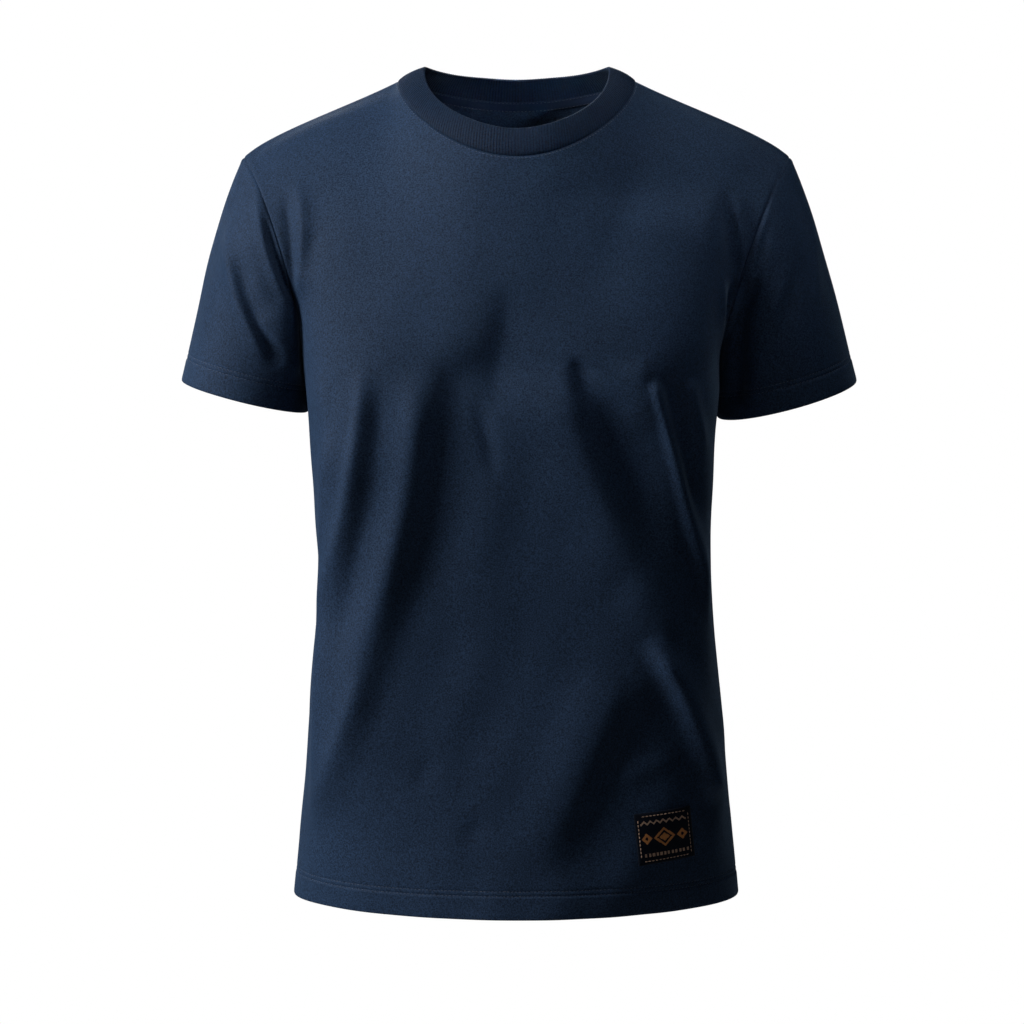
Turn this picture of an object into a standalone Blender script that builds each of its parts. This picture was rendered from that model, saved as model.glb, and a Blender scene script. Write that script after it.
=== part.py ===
"""Crew neck t-shirt, filled out as it is when worn, with nobody in it.

Metres, +Z up, the front faces -Y and the wearer's left is +X. The origin is midway between
the two neck points, where the shoulder seams meet the collar and the wearer's shoulders carry
the shirt. Each cut piece is a thin closed wall: its outer face is a grid of points worked out
from the size tables below, and its inner face is the same grid moved in by the cloth's
thickness. Pieces that are sewn together share the points of their seam, a hair apart.
"""

import bmesh
import bpy
import numpy as np

# Cloth
JERSEY = 0.0015  # thickness of the panels and sleeves
HEM_WALL = 0.0024  # where the edge is turned up double
SEAM_GAP = 0.0003  # between two sewn pieces
RIB_WALL = 0.0022  # the doubled rib band of the collar
RIB_RELIEF = 0.00035  # how far the ribs stand out
RIBS = 235

# Lengths down from the neck points, and depths of the turned-up hems
HEM_DROP = 0.7212
HEM_RISE = 0.0032  # at the side seams
UNDERARM_DROP = 0.2425
ROW_DIP = 0.0280  # how far the underarm row sinks away from the side seam
HEM_DEPTH = 0.0225
CUFF_DEPTH = 0.0210
HEM_STEP = 0.0015

# How finely the pieces are divided
ACROSS = 40  # columns of the front and of the back
LOWER_ROWS = 12  # between the hem and the underarm
UPPER_ROWS = 11  # between the underarm and the shoulder
SLEEVE_ROWS = 7
PLAIN_COLUMNS = 94  # of the collar's inner face
BELLY = 0.45  # how far up the collar it bulges most
EASING = 3  # how often all the rows above the underarm are eased
SETTLING = 16  # how often those midway to the shoulder are eased, to spread the turn at the sides
NECK_SHARE = 0.5  # the half of a panel's columns that ends in the neckline


def table(columns, *rows):
    """A table of sizes as a dict of arrays, one for each named column."""
    return dict(zip(columns.split(), np.array(rows, float).T))


# The trunk's level sections. "right" and "left" are the wearer's.
TRUNK = table(
    "height right left front back square",
    (-0.7212, 0.1977, 0.1967, 0.1215, 0.1155, 1.86),
    (-0.6900, 0.1945, 0.1936, 0.1205, 0.1145, 2.10),
    (-0.6180, 0.1871, 0.1862, 0.1175, 0.1110, 2.80),
    (-0.5460, 0.1824, 0.1805, 0.1145, 0.1050, 3.60),
    (-0.4930, 0.1786, 0.1750, 0.1125, 0.0995, 4.10),
    (-0.4390, 0.1731, 0.1713, 0.1120, 0.0960, 4.40),
    (-0.3860, 0.1762, 0.1702, 0.1130, 0.0970, 4.60),
    (-0.3150, 0.1806, 0.1726, 0.1170, 0.1040, 4.60),
    (-0.2900, 0.1818, 0.1740, 0.1185, 0.1070, 4.50),
    (-0.2650, 0.1846, 0.1764, 0.1200, 0.1095, 4.40),
    (-0.2425, 0.1882, 0.1770, 0.1210, 0.1115, 4.30),
    (-0.2000, 0.1940, 0.1780, 0.1215, 0.1130, 4.20),
)

# Seams as cubic curves, a control point to a row, on the wearer's left.
SHOULDER = table(
    "x y z",
    (0.1040, 0.0, 0.0),
    (0.1500, 0.0, -0.0228),
    (0.2225, 0.0, -0.0468),
    (0.2390, 0.0, -0.0665),
)
FRONT_NECK = table(
    "x y z",
    (0.0, -0.0950, -0.0600),
    (0.0575, -0.0950, -0.0594),
    (0.1040, -0.0525, -0.0165),
    (0.1040, 0.0, 0.0),
)
BACK_NECK = table(
    "x y z",
    (0.0, 0.0780, -0.0206),
    (0.0575, 0.0780, -0.0208),
    (0.1040, 0.0431, 0.0005),
    (0.1040, 0.0, 0.0),
)

# How the columns leave the underarm row: "lean" is the part of their direction that runs along
# the row towards the centre. "share" goes from the centre to the side; "reach" is the length of
# the curve's handle.
RISE = table(
    "share lean reach",
    (0.00, 0.00, 0.070),
    (0.35, 0.02, 0.075),
    (0.60, 0.16, 0.080),
    (0.80, 0.46, 0.075),
    (0.92, 0.76, 0.075),
    (1.00, 0.95, 0.086),
)
# How they reach the neckline and the shoulder: "out" from the centre, "back" towards the other
# panel, "up".
FRONT_ARRIVE = table(
    "share out back up reach",
    (0.00, 0.00, 0.38, 0.92, 0.045),
    (0.25, -0.33, 0.52, 0.79, 0.050),
    (0.40, -0.50, 0.58, 0.66, 0.055),
    (0.50, -0.42, 0.76, 0.50, 0.062),
    (0.60, -0.14, 0.93, 0.34, 0.070),
    (0.75, 0.04, 0.96, 0.28, 0.072),
    (0.90, 0.18, 0.94, 0.30, 0.078),
    (1.00, 0.30, 0.90, 0.32, 0.086),
)
BACK_ARRIVE = table(
    "share out back up reach",
    (0.00, 0.00, 0.50, 0.86, 0.060),
    (0.25, -0.33, 0.55, 0.80, 0.060),
    (0.40, -0.50, 0.60, 0.66, 0.060),
    (0.50, -0.42, 0.76, 0.50, 0.064),
    (0.60, -0.14, 0.93, 0.34, 0.070),
    (0.75, 0.04, 0.96, 0.28, 0.072),
    (0.90, 0.18, 0.94, 0.30, 0.076),
    (1.00, 0.30, 0.90, 0.32, 0.082),
)

# Sleeves: the cuff is an oval ring, square to the sleeve's axis but for how far its front
# hangs. Then how the cloth leaves the armhole, from the shoulder tip ("share" 0) to the
# underarm (1).
CUFF_COLUMNS = "x z tilt across front back hang bow"
CUFF = {
    "right": table(CUFF_COLUMNS, (0.2390, -0.2760, 14.0, 0.0569, 0.0610, 0.0600, 0.0, 1.10)),
    "left": table(CUFF_COLUMNS, (0.2376, -0.2785, 14.8, 0.0632, 0.0620, 0.0600, 0.0038, 0.95)),
}
CROWN = table(
    "share out on down reach end",
    (0.00, 0.45, 0.00, 0.89, 0.055, 0.060),
    (0.25, 0.42, 0.34, 0.84, 0.050, 0.060),
    (0.45, 0.34, 0.22, 0.91, 0.045, 0.050),
    (0.65, 0.16, 0.16, 0.97, 0.035, 0.035),
    (0.85, 0.10, 0.10, 0.99, 0.024, 0.022),
    (1.00, 0.16, 0.00, 0.98, 0.018, 0.016),
)

# How the collar leaves its seam, from centre front (0) past the neck points (0.5) to centre
# back (1).
BAND = table(
    "share inward up bulge",
    (0.00, 0.0070, 0.0235, 0.0012),
    (0.10, 0.0074, 0.0234, 0.0012),
    (0.25, 0.0126, 0.0203, 0.0014),
    (0.38, 0.0196, 0.0156, 0.0016),
    (0.50, 0.0234, 0.0128, 0.0018),
    (0.62, 0.0228, 0.0138, 0.0016),
    (0.75, 0.0190, 0.0165, 0.0014),
    (0.90, 0.0134, 0.0196, 0.0012),
    (1.00, 0.0130, 0.0198, 0.0012),
)

TAPE = dict(width=0.0095, below=0.0006, off=0.0007, wall=0.0010, share=0.44, columns=33)
PATCH = dict(
    off=0.0006, wall=0.0010, x=0.1280, z=-0.6508, width=0.0492, height=0.0458, turn=6.0,
    columns=9, rows=7,
)

# The largest folds in millimetres: x and drop below the neck points at the start, the middle
# and the end, how wide on the wearer's right and left of the line, how high (troughs are
# negative), and over what share of their length they rise and die away.
FOLD_COLUMNS = "x1 d1 x2 d2 x3 d3 right left high near far"
FRONT_FOLDS = table(
    FOLD_COLUMNS,
    # the front hangs flat and turns quickly at its sides
    (-160, 250, -164, 430, -176, 668, 12, 60, 7.0, 0.25, 0.20),
    (158, 80, 148, 180, 108, 300, 76, 27, 11.0, 0.30, 0.35),
    # from the wearer's right underarm and the chest above it
    (-136, 230, -144, 335, -177, 490, 10, 11, 4.5, 0.30, 0.30),
    (-118, 238, -131, 370, -168, 560, 11, 11, -4.0, 0.25, 0.25),
    (-86, 236, -104, 390, -170, 620, 15, 17, 8.0, 0.22, 0.40),
    (-54, 216, -70, 350, -122, 520, 18, 34, -4.0, 0.32, 0.50),
    (-126, 480, -150, 570, -186, 655, 11, 13, 4.5, 0.35, 0.25),
    # under the middle of the chest
    (-2, 160, -12, 215, -24, 310, 14, 34, -5.5, 0.50, 0.45),
    (-14, 216, -40, 246, -74, 262, 16, 30, -3.0, 0.35, 0.30),
    (38, 232, 66, 325, 130, 455, 40, 22, 6.0, 0.30, 0.40),
    (72, 236, 99, 325, 166, 450, 22, 34, -8.0, 0.40, 0.45),
    # from the wearer's left underarm
    (114, 250, 139, 332, 173, 486, 10, 10, 4.5, 0.22, 0.25),
    (127, 244, 142, 308, 166, 400, 11, 12, -5.0, 0.25, 0.35),
    # low on the wearer's left
    (84, 500, 66, 572, 18, 672, 40, 17, 4.0, 0.35, 0.35),
    (152, 510, 94, 590, 44, 705, 27, 40, -9.0, 0.20, 0.20),
    (111, 474, 155, 545, 189, 632, 10, 13, 6.5, 0.22, 0.30),
    # beside the armholes
    (-194, 80, -185, 125, -190, 192, 9, 10, 3.0, 0.35, 0.20),
    (182, 84, 183, 126, 192, 172, 10, 8, -2.5, 0.40, 0.20),
)
BACK_FOLDS = table(
    FOLD_COLUMNS,
    (-124, 225, -126, 330, -158, 520, 14, 18, 5.0, 0.35, 0.35),
    (-70, 260, -86, 380, -120, 560, 18, 16, -4.5, 0.35, 0.35),
    (92, 240, 108, 360, 150, 560, 16, 20, 6.0, 0.35, 0.35),
    (140, 220, 144, 300, 156, 400, 10, 10, 3.0, 0.35, 0.35),
    (58, 300, 62, 420, 78, 560, 18, 18, -4.0, 0.35, 0.35),
    (-30, 330, -24, 460, -34, 640, 26, 24, 4.0, 0.35, 0.35),
    (-196, 96, -184, 140, -182, 180, 11, 11, -3.0, 0.35, 0.35),
    (196, 96, 184, 140, 182, 180, 11, 11, -3.0, 0.35, 0.35),
)
# On the sleeves "side" is -1 for the front half and 1 for the back half.
SLEEVE_FOLDS = {
    "right": table(
        FOLD_COLUMNS + " side",
        (-251, 108, -246, 176, -208, 242, 9, 9, 3.4, 0.35, 0.25, -1),
        (-238, 140, -230, 188, -203, 236, 9, 10, -3.4, 0.35, 0.30, -1),
        (-226, 92, -220, 140, -193, 198, 9, 8, 3.0, 0.35, 0.25, -1),
        (-206, 180, -199, 215, -195, 262, 14, 12, 5.0, 0.35, 0.20, -1),
        (-246, 120, -232, 190, -206, 250, 10, 10, 2.6, 0.35, 0.35, 1),
        (-228, 110, -216, 165, -196, 215, 9, 9, -2.6, 0.35, 0.35, 1),
    ),
    "left": table(
        FOLD_COLUMNS + " side",
        (222, 96, 209, 140, 199, 180, 8, 9, 2.6, 0.35, 0.30, -1),
        (246, 140, 236, 192, 210, 248, 9, 9, -2.6, 0.35, 0.35, -1),
        (256, 112, 261, 162, 256, 212, 8, 8, 2.4, 0.35, 0.35, -1),
        (200, 165, 191, 215, 187, 290, 10, 12, -9.0, 0.25, 0.10, -1),
        (250, 120, 238, 180, 212, 246, 10, 10, 2.8, 0.35, 0.35, 1),
        (230, 110, 218, 160, 198, 210, 9, 9, -2.6, 0.35, 0.35, 1),
    ),
}

COLOURS = {
    "jersey": ((0.016, 0.023, 0.050, 1.0), 0.85),
    "rib": ((0.017, 0.024, 0.052, 1.0), 0.85),
    "tape": ((0.014, 0.020, 0.044, 1.0), 0.85),
    "weave": ((0.010, 0.012, 0.022, 1.0), 0.80),
}


def unit(a):
    return a / np.maximum(np.linalg.norm(a, axis=-1, keepdims=True), 1e-12)


def smooth(low, high, x):
    t = np.clip((x - low) / (high - low), 0.0, 1.0)
    return t * t * (3.0 - 2.0 * t)


def along(rows, key, name, at):
    """One column of a table, read smoothly between its rows."""
    x, y = rows[key], rows[name]
    slope = np.gradient(y, x)
    i = np.clip(np.searchsorted(x, at) - 1, 0, len(x) - 2)
    h = x[i + 1] - x[i]
    t = np.clip((at - x[i]) / h, 0.0, 1.0)
    s = 1.0 - t
    return (
        (1 + 2 * t) * s * s * y[i]
        + t * s * s * h * slope[i]
        + t * t * (3 - 2 * t) * y[i + 1]
        - t * t * s * h * slope[i + 1]
    )


def bezier(p0, p1, p2, p3, t):
    s = 1.0 - t
    return s**3 * p0 + 3 * s * s * t * p1 + 3 * s * t * t * p2 + t**3 * p3


def seam(rows, share):
    """Points on a seam's curve at even shares of its length."""
    control = np.stack([rows["x"], rows["y"], rows["z"]], 1)
    t = np.linspace(0, 1, 400)
    fine = bezier(*control, t[:, None])
    length = np.append(0, np.cumsum(np.linalg.norm(np.diff(fine, axis=0), axis=1)))
    return bezier(*control, np.interp(share, length / length[-1], t)[:, None])


def ring_angle(share, height, facing):
    """Angle on the trunk's oval at even shares of its half length, 0 at the centre."""
    t = np.linspace(0, np.pi / 2, 600)
    out = []
    for side in ("right", "left"):
        x, y = oval(t, height, side, facing)
        length = np.append(0, np.cumsum(np.hypot(np.diff(x), np.diff(y))))
        out.append(np.interp(np.abs(share), length / length[-1], t))
    return np.where(share < 0, out[0], out[1])


def oval(angle, height, side, facing):
    """The trunk's section, angle 0 at the centre and a right angle at the side seam."""
    power = 2.0 / along(TRUNK, "height", "square", height)
    depth = along(TRUNK, "height", "front" if facing < 0 else "back", height)
    half = along(TRUNK, "height", side, height)
    return half * np.sin(angle) ** power, facing * depth * np.cos(angle).clip(0) ** power


def trunk(share, angle, height, facing):
    """Points of the trunk below the underarm."""
    xr, y = oval(angle, height, "right", facing)
    xl, _ = oval(angle, height, "left", facing)
    return np.stack([np.where(share < 0, -xr, xl), y, height], -1)


def underarm_height(share):
    """The underarm row sinks quickly away from the side seams, so that it leaves the armhole's
    corner along the middle of the angle."""
    away = 0.25 * (1 - np.abs(share))
    return -UNDERARM_DROP - ROW_DIP * (1 - np.exp(-away / ROW_DIP))


def panel(facing):
    """The front or back panel's outer points, rows from hem to shoulder, columns from the
    wearer's right to left. Below the underarm the rows are level ovals; above it each column
    is a cubic curve to the neckline or the shoulder seam, and the outermost is the armhole."""
    share = np.linspace(-1, 1, ACROSS + 1)
    hem = np.array([0.0, HEM_DEPTH, HEM_DEPTH + HEM_STEP])
    floor = underarm_height(share)
    rows = [-HEM_DROP + h + HEM_RISE * share**2 for h in hem]
    for i in range(1, LOWER_ROWS + 1):
        rows.append(rows[2] + (floor - rows[2]) * i / LOWER_ROWS)
    lower = []
    for z in rows:
        angle = ring_angle(share, np.full(600, z.mean()), facing)
        lower.append(trunk(share, angle, z, facing))
    start = lower[-1]
    above = trunk(share, angle, floor + 0.01, facing)
    up = unit(above - start)
    across = unit(np.gradient(start, axis=0)) * -np.sign(share)[:, None]
    level = across * np.array([1, 1, 0])
    size = np.abs(share)
    lean = along(RISE, "share", "lean", size)[:, None]
    rise = unit(unit(level + 1e-9) * lean + up * np.sqrt(1 - lean**2))
    end = panel_top(share, facing)
    arrive = FRONT_ARRIVE if facing < 0 else BACK_ARRIVE
    land = unit(
        np.stack(
            [
                along(arrive, "share", "out", size) * np.sign(share),
                along(arrive, "share", "back", size) * -facing,
                along(arrive, "share", "up", size),
            ],
            -1,
        )
    )
    p1 = start + rise * along(RISE, "share", "reach", size)[:, None]
    p2 = end - land * along(arrive, "share", "reach", size)[:, None]
    upper = [bezier(start, p1, p2, end, i / UPPER_ROWS) for i in range(1, UPPER_ROWS + 1)]
    grid = np.array(lower + upper)
    midway = np.sin(np.pi * np.arange(1, UPPER_ROWS) / UPPER_ROWS)[:, None, None] ** 2
    for weight in [1.0] * EASING + [midway] * SETTLING:
        inside = grid[-UPPER_ROWS:-1, 1:-1]
        beside = (grid[-UPPER_ROWS:-1, :-2] + grid[-UPPER_ROWS:-1, 2:]) / 2
        grid[-UPPER_ROWS:-1, 1:-1] = inside + 0.5 * weight * (beside - inside)
    return grid


def panel_top(share, facing):
    """The neckline over the middle half of the columns and the shoulder seams outside it."""
    size = np.abs(share)
    neck = seam(FRONT_NECK if facing < 0 else BACK_NECK, np.clip(size / NECK_SHARE, 0, 1))
    slope = seam(SHOULDER, np.clip((size - NECK_SHARE) / (1 - NECK_SHARE), 0, 1))
    out = np.where((size <= NECK_SHARE)[:, None], neck, slope)
    out[:, 0] *= np.sign(share)
    return out


def normals(grid, outward, wrap=False):
    """Unit normals of a grid of points, turned to point along "outward"."""
    if wrap:
        padded = np.concatenate([grid[:, -1:], grid, grid[:, :1]], 1)
        across = np.gradient(padded, axis=1)[:, 1:-1]
    else:
        across = np.gradient(grid, axis=1)
    n = unit(np.cross(across, np.gradient(grid, axis=0)))
    return n * np.where((n * outward).sum(-1).mean() < 0, -1.0, 1.0)


def parabola(first, middle, last, t):
    """The parabola that passes through the middle at t = 1/2."""
    bend = 2 * middle - (first + last) / 2
    return (1 - t) ** 2 * first + 2 * t * (1 - t) * bend + t * t * last


def folds(grid, rows, keep=None):
    """How far each point stands out for the folds in a table. A fold runs along a parabola
    through three places, is a rounded ridge or trough across it and dies away at both ends."""
    x, drop = grid[..., 0] * 1000, grid[..., 2] * -1000
    out = np.zeros_like(x)
    t = np.linspace(0, 1, 49)
    for i in range(len(rows["high"])):
        r = {name: values[i] for name, values in rows.items()}
        if keep is not None and r["side"] != keep:
            continue
        px, pd = parabola(r["x1"], r["x2"], r["x3"], t), parabola(r["d1"], r["d2"], r["d3"], t)
        tx, td = np.gradient(px, t), np.gradient(pd, t)
        near = ((x[..., None] - px) ** 2 + (drop[..., None] - pd) ** 2).argmin(-1)
        ox, od = x - px[near], drop - pd[near]
        size = np.hypot(tx, td)[near]
        place = t[near] + (ox * tx[near] + od * td[near]) / size**2
        away = (ox * td[near] - od * tx[near]) / size
        width = np.where(away < 0, r["right"], r["left"])
        taper = smooth(0, r["near"], place) * smooth(0, r["far"], 1 - place)
        out += r["high"] * 0.001 * taper * np.exp(-((away / width) ** 2))
    return out


def grid_piece(points, n, thick):
    """A piece before it is sewn: what its seams add to its normals and how they move it."""
    zero = np.zeros_like(points)
    return dict(points=points, normals=n, thick=thick, add=zero.copy(), shift=zero.copy())


def join(a, ia, b, ib, inward_a, inward_b, ridge=True):
    """Sew edge ia of piece a to edge ib of piece b. Each edge draws back half the gap, and
    its thickness runs along the mean of the two faces. Where a seam is not a ridge, and the
    faces fold back on each other, each edge keeps to its own face instead."""
    na, nb = a["normals"][ia], b["normals"][ib]
    together = np.ones(len(na))[:, None]
    if not ridge:
        together = smooth(0.0, 0.6, (na * nb).sum(-1))[..., None]
    a["add"][ia] += together * nb
    b["add"][ib] += together * na
    half = SEAM_GAP / 2
    a["shift"][ia] += half * (unit(inward_a) - (1 - together) * na)
    b["shift"][ib] += half * (unit(inward_b) - (1 - together) * nb)


def wall(piece):
    """Outer and inner points of a piece, after its seams have been joined."""
    n = unit(piece["normals"] + piece["add"])
    outer = piece["points"] + piece["shift"]
    return outer, outer - n * piece["thick"][..., None], n


def closed(outer, inner, wrap=False):
    """Points and faces of the solid between two like grids."""
    rows, cols = outer.shape[:2]
    index = np.arange(rows * cols).reshape(rows, cols)
    if wrap:
        index = np.concatenate([index, index[:, :1]], 1)
    lift = rows * cols

    def quads(a, b):
        return np.stack([a[:-1], a[1:], b[1:], b[:-1]], -1).reshape(-1, 4)

    face = np.stack([index[:-1, :-1], index[:-1, 1:], index[1:, 1:], index[1:, :-1]], -1)
    faces = [face.reshape(-1, 4), face.reshape(-1, 4)[:, ::-1] + lift]
    faces.append(quads(index[0], index[0] + lift)[:, ::-1])
    faces.append(quads(index[-1], index[-1] + lift))
    if not wrap:
        faces.append(quads(index[:, 0], index[:, 0] + lift))
        faces.append(quads(index[:, -1], index[:, -1] + lift)[:, ::-1])
    points = np.concatenate([outer.reshape(-1, 3), inner.reshape(-1, 3)])
    return points, [tuple(int(k) for k in f) for f in np.concatenate(faces)]


def ring_strip(a, b):
    """Triangles between two closed rings of indices that start side by side."""
    na, nb = len(a), len(b)
    i = j = 0
    faces = []
    while i < na or j < nb:
        if j >= nb or (i < na and (i + 1) / na <= (j + 1) / nb):
            faces.append((a[i % na], a[(i + 1) % na], b[j % nb]))
            i += 1
        else:
            faces.append((a[i % na], b[(j + 1) % nb], b[j % nb]))
            j += 1
    return [tuple(int(k) for k in f) for f in faces]


def make(name, points, faces, material):
    mesh = bpy.data.meshes.new(name)
    mesh.from_pydata([tuple(p) for p in points], [], faces)
    bm = bmesh.new()
    bm.from_mesh(mesh)
    bmesh.ops.recalc_face_normals(bm, faces=bm.faces)
    bm.to_mesh(mesh)
    bm.free()
    mesh.materials.append(material)
    body = bpy.data.objects.new(name, mesh)
    bpy.context.scene.collection.objects.link(body)
    return body


def material(name):
    colour, roughness = COLOURS[name]
    m = bpy.data.materials.new(name)
    m.use_nodes = True
    shader = m.node_tree.nodes["Principled BSDF"]
    shader.inputs["Base Color"].default_value = colour
    shader.inputs["Roughness"].default_value = roughness
    m.diffuse_color = colour
    return m


def make_panel(facing):
    """A panel with its folds, before it is sewn."""
    grid = panel(facing)
    outward = grid * np.array([1, 1, 0]) + np.array([0, facing * 0.02, 0])
    n = normals(grid, outward)
    rows = np.arange(len(grid))[:, None]
    share = np.abs(np.linspace(-1, 1, ACROSS + 1))[None]
    top = (len(grid) - 1 - rows) / UPPER_ROWS
    calm = smooth(0, 0.09, 1 - share) * smooth(0, 0.16, top)
    lift = folds(grid, FRONT_FOLDS if facing < 0 else BACK_FOLDS) * calm
    lift *= smooth(0.0, 0.6, n[..., 1] * facing)
    grid = grid + n * lift[..., None]
    thick = np.full(grid.shape[:2], JERSEY)
    thick[:2] = HEM_WALL
    return grid_piece(grid, normals(grid, outward), thick)


def make_sleeve(side, armhole, share):
    """A sleeve from the armhole's points, in order round the ring, to the cuff."""
    sign = 1 if side == "left" else -1
    cuff = {name: values[0] for name, values in CUFF[side].items()}
    tilt = np.radians(cuff["tilt"])
    axis = np.array([sign * np.sin(tilt), 0, -np.cos(tilt)])
    over = np.array([sign * np.cos(tilt), 0, np.sin(tilt)])
    centre = np.array([sign * cuff["x"], 0, cuff["z"]])
    size = np.abs(share)
    on = np.sign(share)
    angle = np.pi * size
    depth = np.where(on < 0, cuff["front"], cuff["back"])
    hang = np.where(on < 0, cuff["hang"], 0.0)
    end = centre + over * (cuff["across"] * np.cos(angle))[:, None]
    end = end + np.array([0, 1, 0]) * (depth * on * np.sin(angle))[:, None]
    end = end - np.array([0, 0, 1]) * (hang * np.sin(angle))[:, None]
    leave = unit(
        np.stack(
            [
                sign * along(CROWN, "share", "out", size),
                on * along(CROWN, "share", "on", size),
                -along(CROWN, "share", "down", size),
            ],
            -1,
        )
    )
    p1 = armhole + leave * along(CROWN, "share", "reach", size)[:, None] * cuff["bow"]
    p2 = end - axis * along(CROWN, "share", "end", size)[:, None] * cuff["bow"]
    length = np.linalg.norm(end - armhole, axis=1)
    grid = []
    for i in range(SLEEVE_ROWS + 3):
        if i <= SLEEVE_ROWS:
            t = (1 - (CUFF_DEPTH + HEM_STEP) / length) * i / SLEEVE_ROWS
        else:
            t = 1 - CUFF_DEPTH / length if i == SLEEVE_ROWS + 1 else np.ones_like(length)
        grid.append(bezier(armhole, p1, p2, end, t[:, None]))
    grid = np.array(grid)
    outward = grid - (centre + (grid[..., 2:] - cuff["z"]) / -np.cos(tilt) * axis)
    n = normals(grid, outward, wrap=True)
    rows = np.arange(len(grid))[:, None] / SLEEVE_ROWS
    calm = smooth(0, 0.5, rows)
    for keep in (-1, 1):
        lift = folds(grid, SLEEVE_FOLDS[side], keep) * calm
        lift = lift * smooth(0.1, 0.6, n[..., 1] * keep)
        grid = grid + n * lift[..., None]
    thick = np.full(grid.shape[:2], JERSEY)
    thick[-2:] = HEM_WALL
    return grid_piece(grid, normals(grid, outward, wrap=True), thick)


def band_rise(points, share):
    """From the collar's seam to its top edge, and the way its outer face looks."""
    flat = points * np.array([1, 1, 0])
    step = unit(np.roll(flat, -1, axis=0) - np.roll(flat, 1, axis=0))
    up = np.array([0, 0, 1.0])
    inward = np.cross(step, up)
    inward *= np.where((inward * flat).sum(-1, keepdims=True) > 0, -1, 1)
    rise = inward * along(BAND, "share", "inward", share)[:, None]
    rise = rise + up * along(BAND, "share", "up", share)[:, None]
    face = unit(np.cross(rise, step))
    return rise, face * np.where((face * flat).sum(-1, keepdims=True) < 0, -1, 1)


# Sewing the pieces together. The underarm row, the top row, and the columns where the neckline
# starts and ends:
LOW = 2 + LOWER_ROWS
TOP = LOW + UPPER_ROWS
NECK = (round(ACROSS * (1 - NECK_SHARE) / 2), round(ACROSS * (1 + NECK_SHARE) / 2))


def across(piece, rows, edge):
    """From a panel's edge column to the column beside it."""
    beside = edge + (1 if edge == 0 else -1)
    return piece["points"][rows, beside] - piece["points"][rows, edge]


def down(piece, cols):
    """From a panel's top row to the row below it."""
    return piece["points"][TOP - 1, cols] - piece["points"][TOP, cols]


def sew_panels(front, back):
    """The side seams up to the underarm, and the shoulder seams."""
    rows = np.arange(LOW + 1)
    for edge in (0, ACROSS):
        place = (rows, edge)
        join(front, place, back, place, across(front, rows, edge), across(back, rows, edge))
    for cols in (np.arange(NECK[0] + 1), np.arange(NECK[1], ACROSS + 1)):
        place = (TOP, cols)
        join(front, place, back, place, down(front, cols), down(back, cols))


def sew_sleeve(side, edge, front, back):
    """A sleeve on the armhole at a side edge of the panels."""
    rows = np.arange(LOW, TOP + 1)
    ring = np.concatenate([front["points"][rows, edge], back["points"][rows, edge][-2:0:-1]])
    length = np.linalg.norm(ring - np.roll(ring, 1, axis=0), axis=1)
    front_run = np.cumsum(length[1 : UPPER_ROWS + 1])
    back_run = np.cumsum(np.append(length[UPPER_ROWS + 1 :], length[0]))
    front_share, back_share = front_run / front_run[-1], back_run[:-1] / back_run[-1]
    share = np.concatenate([[-1.0], front_share - 1, back_share])
    sleeve = make_sleeve(side, ring, share)
    inward = sleeve["points"][1] - sleeve["points"][0]
    before = np.arange(UPPER_ROWS + 1)
    behind = np.append(np.arange(UPPER_ROWS, len(ring)), 0)
    for piece, order, on_sleeve in ((front, rows, before), (back, rows[::-1], behind)):
        join(
            piece, (order, edge), sleeve, (0, on_sleeve),
            across(piece, order, edge), inward[on_sleeve], ridge=False,
        )
    return sleeve


def sew_collar(front, back):
    """The collar's seam is the two necklines in one ring, from centre front past the wearer's
    left. The panels draw back from it and lean their thickness to the collar's face."""
    centre = ACROSS // 2
    order = [(front, c) for c in range(centre, NECK[1])]
    order += [(back, c) for c in range(NECK[1], NECK[0], -1)]
    order += [(front, c) for c in range(NECK[0], centre)]
    ring = np.array([piece["points"][TOP, c] for piece, c in order])
    near = np.array([piece["normals"][TOP, c] for piece, c in order])
    half = (NECK[1] - NECK[0])
    share = np.interp(np.arange(len(ring)), [0, half, 2 * half], [0, 1, 0])
    rise, face = band_rise(ring, share)
    cols = np.arange(NECK[0], NECK[1] + 1)
    for piece in (front, back):
        piece["shift"][TOP, cols] += SEAM_GAP / 2 * unit(down(piece, cols))
    for (piece, c), way in zip(order, face):
        piece["add"][TOP, c] += way
        if c in NECK:
            (back if piece is front else front)["add"][TOP, c] += way
    base = ring + unit(rise) * SEAM_GAP / 2
    return dict(base=base, rise=rise, face=face, mean=unit(face + near), share=share)


def round_ring(values, count):
    """Values of a closed ring at a number of even places, straight between its own."""
    at = np.arange(count) * len(values) / count
    i = at.astype(int)
    f = (at - i)[:, None]
    return values[i] * (1 - f) + values[(i + 1) % len(values)] * f


def soft_ring(values, count):
    """The same, but as a smooth closed curve."""
    at = np.arange(count) * len(values) / count
    i = at.astype(int)
    t = (at - i)[:, None]
    p = [values[(i + k) % len(values)] for k in (-1, 0, 1, 2)]
    return (
        p[1]
        + 0.5 * t * (p[2] - p[0])
        + t * t * (p[0] - 2.5 * p[1] + 2 * p[2] - 0.5 * p[3])
        + t**3 * (1.5 * (p[1] - p[2]) + 0.5 * (p[3] - p[0]))
    )


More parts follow.
